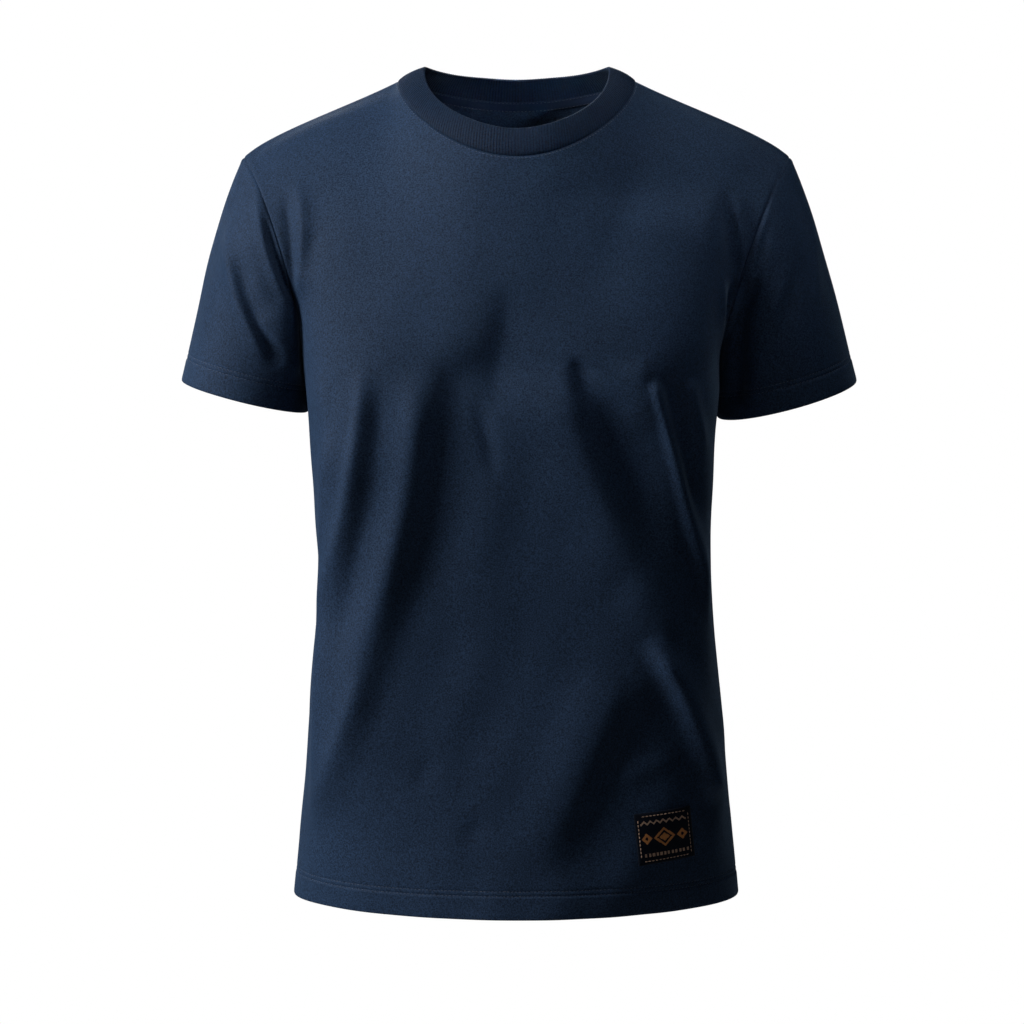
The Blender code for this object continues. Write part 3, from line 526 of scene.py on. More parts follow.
def panel(facing):
    """The solid's own grid of a panel: level ovals to the underarm, then in each column a cubic
    curve that leaves the underarm row and arrives at the neckline or the shoulder seam."""
    share = np.linspace(-1, 1, ACROSS + 1)
    hem, floor = -HEM_DROP + HEM_RISE * share**2, underarm_height(share)
    lower = []
    for i in range(LOWER_ROWS + 1):
        z = hem + (floor - hem) * i / LOWER_ROWS
        angle = ring_angle(share, z.mean(), facing)
        lower.append(trunk(share, angle, z, facing))
    start = lower[-1]
    just_above = trunk(share, angle, floor + 10 * MM, facing)
    up = unit(just_above - start)
    across = unit(np.gradient(start, axis=0)) * -np.sign(share)[:, None]
    size = np.abs(share)
    lean = along(RISE, "lean", size)[:, None]
    level = across * LEVEL
    rise = unit(unit(level + 1e-9) * lean + up * np.sqrt(1 - lean**2))
    end = panel_top(share, facing)
    arrive = FRONT_ARRIVE if facing < 0 else BACK_ARRIVE
    out = along(arrive, "out", size) * np.sign(share)
    back = along(arrive, "back", size) * -facing
    land = unit(np.stack([out, back, along(arrive, "up", size)], -1))
    p1 = start + rise * along(RISE, "reach", size)[:, None]
    p2 = end - land * along(arrive, "reach", size)[:, None]
    upper = [bezier(start, p1, p2, end, i / UPPER_ROWS) for i in range(1, UPPER_ROWS + 1)]
    grid = np.array(lower + upper)
    for _ in range(EASING):
        beside = grid[-UPPER_ROWS:-1, :-2] + grid[-UPPER_ROWS:-1, 2:]
        grid[-UPPER_ROWS:-1, 1:-1] = 0.5 * grid[-UPPER_ROWS:-1, 1:-1] + 0.25 * beside
    weight = np.sin(np.pi * np.arange(1, UPPER_ROWS) / UPPER_ROWS)[:, None, None] ** 2
    for _ in range(SETTLING):
        inner = grid[-UPPER_ROWS:-1, 1:-1]
        beside = (grid[-UPPER_ROWS:-1, :-2] + grid[-UPPER_ROWS:-1, 2:]) / 2 - inner
        grid[-UPPER_ROWS:-1, 1:-1] = inner + 0.5 * weight * beside
    return grid


def normals(grid, outward, wrap=False):
    """Unit normals of a grid: the cross product of its two directions, turned outward."""
    if wrap:
        padded = np.concatenate([grid[:, -1:], grid, grid[:, :1]], 1)
        across = np.gradient(padded, axis=1)[:, 1:-1]
    else:
        across = np.gradient(grid, axis=1)
    n = unit(np.cross(across, np.gradient(grid, axis=0)))
    return n * np.where((n * outward).sum(-1).mean() < 0, -1.0, 1.0)


# How finely the cloth is divided: distances from a sewn edge and from an open hem, then the
# number of lines over the rest.
EDGE_LINES = np.array([0.0, 0.25, 0.6, 1.1, 1.8, 2.8, 4.2]) * MM
HEM_LINES = MM * np.concatenate([
    [0.0, 0.12, 0.35, 0.7, 1.2, 2.0, 3.5, 5.5],
    np.arange(7.5, 19, 2.2),
    np.arange(19.3, 27, 0.55),
    [28.5, 31],
])
PANEL_LINES = dict(lower=146, upper=76, across=172)
SLEEVE_LINES = 62


def panel_rows(control):
    """Row places on the solid's grid, one set for each of its columns."""
    pitch = np.linalg.norm(control[1] - control[0], axis=-1)
    step = np.linalg.norm(control[-1] - control[-2], axis=-1)
    top = LOWER_ROWS + UPPER_ROWS
    hem = HEM_LINES[:, None] / pitch
    share = np.arange(1, PANEL_LINES["lower"] + 1)[:, None] / PANEL_LINES["lower"]
    lower = hem[-1] + (LOWER_ROWS - hem[-1]) * share
    edge = top - EDGE_LINES[::-1, None] / step
    share = np.arange(1, PANEL_LINES["upper"])[:, None] / PANEL_LINES["upper"]
    upper = LOWER_ROWS + (edge[0] - LOWER_ROWS) * share
    return np.concatenate([hem, lower, upper, edge])


def panel_columns():
    """Column places on the solid's grid, close together beside the seams."""
    edge = EDGE_LINES / COLUMN_PITCH
    middle = np.linspace(edge[-1], ACROSS - edge[-1], PANEL_LINES["across"])
    return np.concatenate([edge[:-1], middle, ACROSS - edge[-2::-1]])


def fine_panel(facing):
    """The panel's smooth form through the solid's grid. Its side edges turn a corner at the
    underarm and its top edge at the neck points, so those two are read in pieces."""
    control = panel(facing)
    rows, cols = panel_rows(control), panel_columns()
    strands = between(control, rows)
    for edge in (0, -1):
        place = rows[:, edge]
        low = between(control[: LOWER_ROWS + 1, edge], np.minimum(place, LOWER_ROWS))
        high = between(control[LOWER_ROWS:, edge], np.maximum(place - LOWER_ROWS, 0))
        strands[:, edge] = np.where((place <= LOWER_ROWS)[:, None], low, high)
    grid = between(strands.swapaxes(0, 1), cols).swapaxes(0, 1)
    share = cols / (ACROSS / 2) - 1
    centre = rows[:, ACROSS // 2]
    fade = smooth(0, 1, centre - (LOWER_ROWS + UPPER_ROWS - 1))[:, None, None]
    grid += (panel_top(share, facing) - grid[-1]) * fade
    return grid, rows, cols, share


# Folds and sewn edges


def folds(points, rows, side=None):
    """How far the cloth stands out for the folds in a table. A fold follows the parabola
    through its three places. Across it is a rounded bump, e to the power of minus (distance /
    width) squared, with a width for each side, and it tapers away at both ends."""
    x, drop = points[..., 0] / MM, points[..., 2] / -MM
    out = np.zeros_like(x)
    t = np.linspace(0, 1, FOLD_PLACES)
    for i in range(len(rows["high"])):
        r = {name: values[i] for name, values in rows.items()}
        if side is not None and r["side"] != side:
            continue
        cx = 2 * r["x2"] - (r["x1"] + r["x3"]) / 2
        cd = 2 * r["d2"] - (r["d1"] + r["d3"]) / 2
        px = (1 - t) ** 2 * r["x1"] + 2 * t * (1 - t) * cx + t * t * r["x3"]
        pd = (1 - t) ** 2 * r["d1"] + 2 * t * (1 - t) * cd + t * t * r["d3"]
        tx, td = np.gradient(px, t), np.gradient(pd, t)
        reach = FOLD_REACH * max(r["right"], r["left"])
        box = (x > px.min() - reach) & (x < px.max() + reach)
        box &= (drop > pd.min() - reach) & (drop < pd.max() + reach)
        xs, ds = x[box], drop[box]
        near = ((xs[:, None] - px) ** 2 + (ds[:, None] - pd) ** 2).argmin(-1)
        ox, od = xs - px[near], ds - pd[near]
        size = np.hypot(tx, td)[near]
        place = t[near] + (ox * tx[near] + od * td[near]) / size**2
        away = (ox * td[near] - od * tx[near]) / size
        width = np.where(away < 0, r["right"], r["left"])
        taper = smooth(0, r["near"], place) * smooth(0, r["far"], 1 - place)
        out[box] += r["high"] * MM * taper * bell(away, width, 2 - CRISP * r["crisp"])
    return out


def ripple(points, seed, count, shortest, longest, height):
    """Faint unevenness: a sum of plane waves with random directions, lengths and phases."""
    rng = np.random.default_rng(seed)
    out = np.zeros(points.shape[:-1])
    for _ in range(count):
        way = unit(rng.normal(size=3))
        wave = TAU / rng.uniform(shortest, longest)
        out += np.sin(points @ way * wave + rng.uniform(0, TAU))
    return out * height / np.sqrt(count)


def sewn_edge(away):
    """The cloth dips into a seam and rides over the allowance that is turned in beside it."""
    return RIDE * bell(away - RIDE_PLACE, RIDE_WIDTH) - SEAM_DIP * bell(away, SEAM_WIDTH)


def hem_relief(away, depth, twin, beside):
    """The two rows of a hem pull the cloth in, with small uneven puckers along them, and the
    doubled cloth below them stands a little proud."""
    pull = PULL + sum(high * np.sin(beside / long * TAU + start) for high, long, start in PUCKERS)
    rows = bell(away - depth, PULL_WIDTH) + bell(away - depth - twin, PULL_WIDTH)
    proud = PROUD * smooth(0, 3 * MM, away) * smooth(0, 2 * MM, depth - away)
    return proud - pull * rows


def round_edge(outer, inner, away):
    """Both faces of a wall close in to its middle at an open edge, as a half circle."""
    middle, half = (outer + inner) / 2, (outer - inner) / 2
    radius = np.linalg.norm(half, axis=-1)
    t = np.clip(1 - away / np.maximum(radius, 1e-6), 0, 1)
    keep = np.sqrt(np.maximum(1 - t * t, 0.02))[..., None]
    return middle + half * keep, middle - half * keep


def wall_of(grid, outward, relief, away, hem, sizes, wrap=False):
    """Both faces of a piece with a hem. The relief is added to the outer one, and the inner one
    lies the cloth's thickness behind it, twice that from the open edge to just above the hem's
    stitches."""
    n = normals(grid, outward, wrap)
    outer = grid + n * relief[..., None]
    doubled = smooth(-WALL_STEP, WALL_STEP, hem + sizes.twin + BEYOND - away)
    inner = outer - n * (sizes.jersey * (1 + doubled))[..., None]
    outer, inner = round_edge(outer, inner, away)
    n = normals(outer, outward, wrap)
    return dict(outer=outer, inner=inner, normals=n, away=away, hem=hem)


def make_panel_shape(facing, sizes):
    """A panel's two faces, its outward normals and its flat coordinates."""
    base, rows, cols, share = fine_panel(facing)
    outward = base * LEVEL + np.array([0, facing * 0.02, 0])
    n = normals(base, outward)
    beside, up = run(base, 1), run(base, 0)
    to_side = np.minimum(beside, beside[:, -1:] - beside)
    to_top = up[-1] - up
    still = np.where(rows[:, [ACROSS // 2]] <= LOWER_ROWS, STILL_LOW, STILL_HIGH)
    calm = smooth(0, 1, to_side / still) * smooth(0, STILL_TOP, to_top)
    lift = folds(base, FRONT_FOLDS if facing < 0 else BACK_FOLDS) * sizes.fold_strength
    lift *= smooth(*PANEL_FADE, n[..., 1] * facing)
    lift += ripple(base, 3 if facing < 0 else 4, **PANEL_RIPPLE)
    grid = base + n * (lift * calm)[..., None]
    relief = sewn_edge(to_side) + sewn_edge(to_top)
    relief += hem_relief(up, sizes.hem, sizes.twin, beside)
    made = wall_of(grid, outward, relief, up, sizes.hem, sizes)
    flat = np.stack([beside - beside[:, [len(cols) // 2]], up], -1)
    return made | dict(base=base, flat=flat, rows=rows, share=share, to_top=to_top)


def armhole(panel_shape, edge):
    """A panel's armhole edge from the underarm to the shoulder, and its places."""
    rows = panel_shape["rows"][:, edge]
    first = int(np.argmax(rows >= LOWER_ROWS - 1e-9))
    return slice(first, None), rows[first:] - LOWER_ROWS


def sleeve_columns(side):
    """Control points of the cubic curves that run down a sleeve, in order round the ring, from
    the armhole to the cuff's tilted oval; then the oval's centre and the way it faces."""
    cuff = CUFF[side]
    sign, edge, tilt = cuff["sign"], SIDE_COLUMN[side], np.radians(cuff["tilt"])
    axis = np.array([sign * np.sin(tilt), 0, -np.cos(tilt)])
    over = np.array([sign * np.cos(tilt), 0, np.sin(tilt)])
    centre = np.array([sign * cuff["x"], 0, cuff["z"]])
    rings = [panel(facing)[LOWER_ROWS:, edge] for facing in (-1, 1)]
    ring = np.concatenate([rings[0], rings[1][-2:0:-1]])
    length = np.linalg.norm(ring - np.roll(ring, 1, axis=0), axis=1)
    front_run = np.cumsum(length[1 : UPPER_ROWS + 1])
    back_run = np.cumsum(np.append(length[UPPER_ROWS + 1 :], length[0]))
    front_share, back_share = front_run / front_run[-1], back_run / back_run[-1]
    share = np.concatenate([[-1.0], front_share - 1, back_share[:-1]])
    share[UPPER_ROWS] = 0.0
    size, on = np.abs(share), np.sign(share)
    angle = np.pi * size
    depth = np.where(on < 0, cuff["front"], cuff["back"]) * on * np.sin(angle)
    hang = np.where(on < 0, cuff["hang"], 0.0) * np.sin(angle)
    end = centre + over * (cuff["across"] * np.cos(angle))[:, None]
    end = end + np.stack([0 * depth, depth, -hang], -1)
    out = sign * along(CROWN, "out", size)
    down = -along(CROWN, "down", size)
    leave = unit(np.stack([out, on * along(CROWN, "on", size), down], -1))
    p1 = ring + leave * along(CROWN, "reach", size)[:, None] * cuff["bow"]
    p2 = end - axis * along(CROWN, "end", size)[:, None] * cuff["bow"]
    return (ring, p1, p2, end), centre, axis


def fine_sleeve(side, front, back):
    """The sleeve's smooth form: its columns read at even lengths and joined round the ring, with
    the first row on the panels' own edges."""
    columns, centre, axis = sleeve_columns(side)
    t = np.linspace(0, 1, SLEEVE_PLACES)
    far = run(bezier(*columns, t[:, None, None]))
    count = far.shape[1]
    share_down = np.arange(1, SLEEVE_LINES)[:, None] / SLEEVE_LINES
    wanted = np.concatenate([
        np.repeat(EDGE_LINES[:, None], count, 1),
        EDGE_LINES[-1] + (far[-1] - HEM_LINES[-1] - EDGE_LINES[-1]) * share_down,
        far[-1] - HEM_LINES[::-1, None],
    ])
    places = np.stack([np.interp(wanted[:, k], far[:, k], t) for k in range(count)], 1)
    strands = bezier(*columns, places[..., None])
    edge = SIDE_COLUMN[side]
    (front_rows, front_at), (back_rows, back_at) = armhole(front, edge), armhole(back, edge)
    round_at = np.concatenate([front_at, 2 * UPPER_ROWS - back_at[-2:0:-1]])
    grid = between(strands.swapaxes(0, 1), round_at, wrap=True).swapaxes(0, 1)
    back_edge = back["base"][back_rows, edge]
    sewn = np.concatenate([front["base"][front_rows, edge], back_edge[-2:0:-1]])
    grid += (sewn - grid[0]) * (1 - smooth(0, MEETING, run(grid, 0)))[..., None]
    outward = grid - (centre + (grid[..., 2:] - centre[2]) / axis[2] * axis)
    return grid, outward


def make_sleeve_shape(side, front, back, sizes):
    """A sleeve's two faces, its outward normals and its flat coordinates."""
    grid, outward = fine_sleeve(side, front, back)
    n = normals(grid, outward, wrap=True)
    from_top = run(grid, 0)
    to_cuff = from_top[-1] - from_top
    calm = smooth(0, STILL_SLEEVE, from_top)
    for keep in (-1, 1):
        lift = folds(grid, SLEEVE_FOLDS[side], keep) * calm * sizes.fold_strength
        lift = lift * smooth(*SLEEVE_FADE, n[..., 1] * keep)
        grid = grid + n * lift[..., None]
    grid = grid + n * (ripple(grid, 7, **SLEEVE_RIPPLE) * calm)[..., None]
    beside = run(grid, 1)
    relief = sewn_edge(from_top) + hem_relief(to_cuff, sizes.cuff, sizes.twin, beside)
    made = wall_of(grid, outward, relief, to_cuff, sizes.cuff, sizes, wrap=True)
    return made | dict(flat=np.stack([beside, to_cuff], -1))


def neck_ring(count):
    """Even places round the collar's seam, from centre front past the wearer's left, and the
    share of the way from centre front (0) to centre back (1)."""
    s = np.linspace(0, 1, SEAM_PLACES)
    front, back = seam(FRONT_NECK, s), seam(BACK_NECK, s[::-1])
    half = np.concatenate([front, back[1:]])
    share = np.concatenate([s / 2, 0.5 + s[1:] / 2])
    ring = np.concatenate([half, half[-2:0:-1] * np.array([-1, 1, 1])])
    share = np.concatenate([share, share[-2:0:-1]])
    closed = np.concatenate([ring, ring[:1]])
    far = run(closed)
    at = np.arange(count) / count * far[-1]
    return read(closed, far, at), np.interp(at, far, np.append(share, 0.0)), far[-1]


def ease_ring(values, reach, girth):
    """A closed ring of values, blurred over a distance by easing each towards its neighbours."""
    for _ in range(int(2 * (reach * len(values) / girth) ** 2)):
        values = 0.5 * values + 0.25 * (np.roll(values, 1, axis=0) + np.roll(values, -1, axis=0))
    return values


def make_collar_shape(sizes):
    """The rib band: a profile carried round the neck seam, up the outside, over a rounded top
    edge and down the inside. The ribs are a raised cosine round the ring, to a power."""
    count = RIB_STATIONS * sizes.ribs
    base, share, girth = neck_ring(count)
    flat = base * LEVEL
    step = unit(np.roll(flat, -1, axis=0) - np.roll(flat, 1, axis=0))
    inward = np.cross(step, UP)
    inward *= np.where((inward * flat).sum(-1, keepdims=True) > 0, -1, 1)
    rise = inward * along(BAND, "inward", share)[:, None]
    rise += UP * along(BAND, "up", share)[:, None]
    rise = ease_ring(rise, BAND_EASE, girth) + ease_ring(base, SEAM_EASE, girth) - base
    face = unit(np.cross(rise, step))
    face *= np.where((face * flat).sum(-1, keepdims=True) < 0, -1, 1)
    face = unit(ease_ring(face, BAND_EASE, girth))
    bulge = along(BAND, "bulge", share)[:, None]
    tall = np.linalg.norm(rise, axis=1, keepdims=True)
    half = sizes.rib_wall / 2
    below, above = 1 - BAND_UP / BAND_FULL, (BAND_UP - BAND_FULL) / (1 - BAND_FULL)
    swell = 1 - np.where(BAND_UP < BAND_FULL, below**2, (1 - BAND_TOP) * above**2)
    turns = np.arange(count) / count
    ribs = (0.5 + 0.5 * np.cos(TAU * sizes.ribs * turns)[:, None]) ** RIB_ROUND - 0.5
    ribs = ribs * sizes.rib_relief
    body = 1 - half / tall
    rows = []
    for h, s in zip(BAND_UP, swell):
        dip = BAND_DIP * bell(h * tall, SEAM_WIDTH)
        rows.append((h * body, bulge * s - dip + ribs * smooth(0, RIB_START, h), h * body))
    for a in np.linspace(0, np.pi, TOP_STEPS)[1:-1]:
        height = body + (half + ribs) * np.sin(a) / tall
        rows.append((height, bulge * BAND_TOP - half + (half + ribs) * np.cos(a), height))
    for h, s in zip(BAND_UP[::-1], swell[::-1]):
        out = bulge * s - sizes.rib_wall - ribs * smooth(0, RIB_START, h)
        rows.append((h * body, out, 2 - h * body))
    grid = np.array([base + rise * height + face * out for height, out, _ in rows])
    over = np.array([way[:, 0] for _, _, way in rows]) * tall[:, 0]
    round_ring = np.broadcast_to(RIB_PITCH * sizes.ribs * turns, over.shape)
    return dict(grid=grid, flat=np.stack([round_ring, over], -1))


def bilinear(values, row, column):
    """Values of a grid between its points, weighted by the distances along rows and columns."""
    r = np.clip(row.astype(int), 0, values.shape[0] - 2)
    c = np.clip(column.astype(int), 0, values.shape[1] - 2)
    fr, fc = (row - r)[..., None], (column - c)[..., None]
    lower = values[r, c] * (1 - fc) + values[r, c + 1] * fc
    upper = values[r + 1, c] * (1 - fc) + values[r + 1, c + 1] * fc
    return lower * (1 - fr) + upper * fr


def on_skin(shape, row, column, face="outer"):
    """Points of one face of a shape, and its normals there, at places on its grid."""
    return bilinear(shape[face], row, column), unit(bilinear(shape["normals"], row, column))


def down_from_top(shape, column, distances, face="outer"):
    """Points and normals at distances below a panel's top edge, in the columns given."""
    rows = np.arange(len(shape["to_top"]))
    row = [np.interp(-distances, -shape["to_top"][:, c], rows) for c in column]
    row = np.stack(row, 1)
    return on_skin(shape, row, np.broadcast_to(column.astype(float), row.shape), face)


def up_from_hem(shape, distance):
    """Points and normals at a distance from a shape's open edge, in all its columns."""
    away = shape["away"]
    rows = np.arange(len(away))
    order = np.argsort(away[:, 0])
    row = [np.interp(distance, away[order, c], rows[order]) for c in range(away.shape[1])]
    return on_skin(shape, np.array(row), np.arange(len(row), dtype=float))


@lru_cache(maxsize=2)
def shapes(values):
    """Every piece of cloth, worked out once for a set of sizes."""
    sizes = SimpleNamespace(**dict(values))
    made = {"sizes": sizes}
    for name, facing in (("front", -1), ("back", 1)):
        made[name] = make_panel_shape(facing, sizes)
    for side in CUFF:
        made["sleeve_" + side] = make_sleeve_shape(side, made["front"], made["back"], sizes)
    made["collar"] = make_collar_shape(sizes)
    return made


def cloth(context):
    sizes = context.scene.shirt_sizes
    return shapes(tuple((name, getattr(sizes, name)) for name in ShirtSizes.__annotations__))


# Meshes


def quads(index):
    """The faces between the neighbours in a grid of point numbers."""
    corners = (index[:-1, :-1], index[:-1, 1:], index[1:, 1:], index[1:, :-1])
    return np.stack(corners, -1).reshape(-1, 4)


def two_faces(outer, inner, wrap=False):
    """Faces of the closed wall between two like grids: the outer one, the inner one turned
    over, and a strip along each open edge."""
    index = np.arange(outer[..., 0].size).reshape(outer.shape[:2])
    lift = index.size
    if wrap:
        index = np.pad(index, ((0, 0), (0, 1)), "wrap")

    def strip(a):
        return quads(np.stack([a, a + lift], -1))[:, ::-1]

    face = quads(index)
    faces = [face, face[:, ::-1] + lift]
    faces += [strip(index[0])[:, ::-1], strip(index[-1])]
    if not wrap:
        faces += [strip(index[:, 0]), strip(index[:, -1])[:, ::-1]]
    points = np.concatenate([outer.reshape(-1, 3), inner.reshape(-1, 3)])
    return points, np.concatenate(faces)


def add_object(name, data):
    thing = bpy.data.objects.new(name, data)
    bpy.context.scene.collection.objects.link(thing)
    return thing


def add_piece(name, points, faces, flat, finish, extra=()):
    """A mesh from points, quads and any other faces, with flat coordinates in metres as its UV
    map, riding on the shirt's body."""
    mesh = bpy.data.meshes.new(name)
    mesh.from_pydata(points.tolist(), [], faces.tolist() + [list(f) for f in extra])
    outside = mesh.uv_layers.new(name="flat")
    loops = np.empty(len(mesh.loops), np.int32)
    mesh.loops.foreach_get("vertex_index", loops)
    outside.data.foreach_set("uv", flat[loops].astype(np.float32).ravel())
    mesh.polygons.foreach_set("use_smooth", np.ones(len(mesh.polygons), bool))
    mesh.materials.append(finish)
    mesh.update()
    mesh.validate()
    piece = add_object(name, mesh)
    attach(piece, BODY)
    return piece


def facing_out(points, faces, normal):
    """The faces, turned over if the outer grid's first ones don't look along the normals."""
    a, b, d = (points[faces[:50, k]] for k in (0, 1, 3))
    look = (np.cross(b - a, d - a) * normal).sum()
    return faces if look > 0 else faces[:, ::-1]


def wall_piece(name, shape, finish, wrap=False):
    points, faces = two_faces(shape["outer"], shape["inner"], wrap)
    first = shape["normals"].reshape(-1, 3)[faces[:50, 0]]
    faces = facing_out(points, faces, first)
    flat = shape["flat"].reshape(-1, 2)
    return add_piece(name, points, faces, np.concatenate([flat, flat]), finish)


def stitch_row(path, normal, sizes, seed, width=None):
    """Stitches along a path: short threads of hexagonal section whose radius follows a half
    sine, and whose ends dive into the cloth. Returns points, quads, end caps and flat
    coordinates."""
    rng = np.random.default_rng(seed)
    far = run(path)
    count = int((far[-1] - sizes.stitch) / sizes.stitch_pitch)
    start = (far[-1] - count * sizes.stitch_pitch) / 2 + np.arange(count) * sizes.stitch_pitch
    start = start + rng.uniform(-UNEVEN, UNEVEN, count) * sizes.stitch_pitch
    t = np.linspace(0, 1, STATIONS)
    at = start[:, None] + t * sizes.stitch
    centre, out = read(path, far, at), unit(read(normal, far, at))
    beside = np.cross(unit(np.gradient(centre, axis=1)), out)
    radius = (width or sizes.thread) / 2
    swell = np.sin(np.pi * (END + (1 - 2 * END) * t))
    centre = centre + out * ((swell - DIVE) * radius * ARCH - SINK)[None, :, None]
    angle = np.arange(SIDES) / SIDES * TAU
    around = beside[:, :, None] * np.cos(angle)[:, None]
    around = around + out[:, :, None] * np.sin(angle)[:, None] * FLATNESS
    points = centre[:, :, None] + around * (radius * swell)[None, :, None, None]
    index = np.arange(count * STATIONS * SIDES).reshape(count, STATIONS, SIDES)
    nxt = np.roll(index, -1, axis=2)
    faces = np.stack([index[:, :-1], index[:, 1:], nxt[:, 1:], nxt[:, :-1]], -1).reshape(-1, 4)
    caps = np.concatenate([index[:, 0], index[:, -1, ::-1]])
    girth = radius * SIDES
    flat = np.stack(np.broadcast_arrays(at[:, :, None], (angle / TAU * girth)[None, None]), -1)
    return points.reshape(-1, 3), faces, caps, flat.reshape(-1, 2)


def stitches(name, rows, finish):
    """Several rows of stitches as one piece."""
    points, faces, caps, flat = zip(*rows)
    first = np.cumsum([0] + [len(p) for p in points[:-1]])
    faces, caps = (np.concatenate([a + k for a, k in zip(f, first)]) for f in (faces, caps))
    points, flat = np.concatenate(points), np.concatenate(flat)
    return add_piece(name, points, faces, flat, finish, extra=caps.tolist())


def hem_stitches(shape, sizes, seeds, closed=False):
    """The two rows of a hem."""
    rows = []
    for seed, distance in zip(seeds, (shape["hem"], shape["hem"] + sizes.twin)):
        path, way = up_from_hem(shape, distance)
        if closed:
            path, way = np.concatenate([path, path[:1]]), np.concatenate([way, way[:1]])
        rows.append(stitch_row(path, way, sizes, seed))
    return rows


# Finishes


def adds(operation, turned=False):
    """A method that adds one Math node for a wire and another value, exchanged if turned."""

    def method(self, *other):
        values = (self, *other)
        return self.sum(operation, *(values[::-1] if turned else values))

    return method


class Wire:
    """A value in a material. Sums with it are written as usual, and each adds a Math node."""

    __add__ = __radd__ = adds("ADD")
    __sub__ = adds("SUBTRACT")
    __rsub__ = adds("SUBTRACT", turned=True)
    __mul__ = __rmul__ = adds("MULTIPLY")
    __truediv__ = adds("DIVIDE")
    __rtruediv__ = adds("DIVIDE", turned=True)
    part = adds("FRACT")
    size = adds("ABSOLUTE")
    sine = adds("SINE")
    most = adds("MAXIMUM")
    over = adds("GREATER_THAN")

    def __init__(self, tree, socket):
        self.tree, self.socket = tree, socket

    def sum(self, operation, *values):
        node = self.tree.nodes.new("ShaderNodeMath")
        node.operation = operation
        for place, value in zip(node.inputs, values):
            plug(self.tree, value, place)
        return Wire(self.tree, node.outputs[0])


def plug(tree, value, place):
    """A link if the value is one, or else the socket's own number or colour."""
    if isinstance(value, Wire):
        tree.links.new(value.socket, place)
    else:
        place.default_value = value


class Nodes:
    """The nodes of a material or of a world, and its one shader."""

    def __init__(self, owner, shader):
        owner.use_nodes = True
        self.tree = owner.node_tree
        self.shader = self.tree.nodes[shader]

    def set(self, **values):
        """Values or links for the shader's sockets, with _ for a space in their names."""
        for name, value in values.items():
            plug(self.tree, value, self.shader.inputs[name.replace("_", " ")])

    def node(self, kind, settings=None, output=0, places=None, **values):
        """One node: its settings first, then what its sockets hold, by their places or their
        names, then the output wanted."""
        node = self.tree.nodes.new("ShaderNode" + kind)
        for name, value in (settings or {}).items():
            setattr(node, name, value)
        for place, value in (places or {}).items():
            plug(self.tree, value, node.inputs[place])
        for name, value in values.items():
            plug(self.tree, value, node.inputs[name.replace("_", " ")])
        return Wire(self.tree, node.outputs[output])


class Finish(Nodes):
    """A material and its shader."""

    def __init__(self, name, **constants):
        self.material = bpy.data.materials.new(name)
        super().__init__(self.material, "Principled BSDF")
        self.set(**constants)

    def flat(self):
        """The piece's flat coordinates in metres, as two values."""
        uv = self.node("UVMap", {"uv_map": "flat"})
        return [self.node("SeparateXYZ", output=k, Vector=uv) for k in (0, 1)]

    def grain(self, scale, detail=3.0, roughness=0.5):
        """Cloudy noise over the piece's own space, about 0 to 1."""
        place = self.node("TexCoord", output="Object")
        values = dict(Vector=place, Scale=scale, Detail=detail, Roughness=roughness)
        return self.node("TexNoise", **values)

    def mix(self, share, first, second):
        """A colour between two others."""
        return self.node(
            "Mix", {"data_type": "RGBA"}, output=2, places={0: share, 6: first, 7: second}
        )

    def tones(self, share, rgb, dark, light):
        """A colour between two tones of one: dark and light times as bright."""
        return self.mix(share, shade(rgb, dark), shade(rgb, light))

    def bump(self, height, distance, **under):
        """A normal for a height of 0 to 1 over a distance, on top of another one if given."""
        return self.node("Bump", Height=height, Distance=distance, Strength=1.0, **under)


def shade(rgb, amount):
    return tuple(min(1.0, c * amount) for c in rgb[:3]) + (1.0,)


def knit(finish, wale, course):
    """Stockinette: a column of nested V-shaped loops for each wale, as a height of 0 to 1."""
    u, v = finish.flat()
    edge = ((u / wale).part() - 0.5).size() * 2
    loop = ((v / course + edge * 0.55).part() * np.pi).sine()
    return (1 - edge * edge) * (0.55 + 0.45 * loop)


def cotton(name, rgb, wale, course, depth, rib=0.0):
    """Cotton knit: loops, fine heathered grain, soft clouds of tone and a faint bloom. Given a rib
    pitch, the colour has painted shade in the hollows between the ribs and painted light on them."""
    bloom = dict(Sheen_Weight=0.14, Sheen_Roughness=0.30, Sheen_Tint=(0.45, 0.68, 1.0, 1.0))
    finish = Finish(name, Specular_IOR_Level=0.09, **bloom)
    clouds = finish.grain(11.0, roughness=0.55)
    fibre = finish.grain(800.0, roughness=0.65)
    slub = finish.grain(260.0, detail=2.0)
    middle = 1.52
    tone = clouds * 0.35 + fibre * 3.5 + slub * 0.2 - middle
    # Painted shade and light: the tone falls in the hollows between the collar's ribs and rises on
    # the ribs, in step with their relief.
    if rib:
        tone = tone + ((finish.flat()[0] / rib).part() * TAU + np.pi / 2).sine() * 0.28
    loops = finish.bump(knit(finish, wale, course), depth)
    finish.set(
        Base_Color=finish.tones(tone, rgb, 0.45, 1.55),
        Roughness=0.60 + fibre * 0.12,
        Normal=finish.bump(slub * 0.6 + fibre * 0.4, 0.22 * MM, Normal=loops),
    )
    return finish.material


def thread_finish(name, rgb, ply_length, sheen=0.3):
    """Twisted thread: slanting plies along its length, with painted shade between the plies and
    painted light on them, over random grain.
    """
    finish = Finish(name, Specular_IOR_Level=0.3, Sheen_Weight=sheen, Sheen_Roughness=0.35)
    u, v = finish.flat()
    ply = ((u / ply_length + v / (ply_length * 0.9)).part() * np.pi).sine()
    grain = finish.grain(1400.0, detail=2.0)
    finish.set(
        # painted shade between the plies and painted light on their crests, mixed with random
        # grain
        Base_Color=finish.tones(ply * 0.6 + grain * 0.4, rgb, 0.6, 1.3),
        Roughness=0.6 + grain * 0.1,
        Normal=finish.bump(ply, 0.08 * MM),
    )
    return finish.material


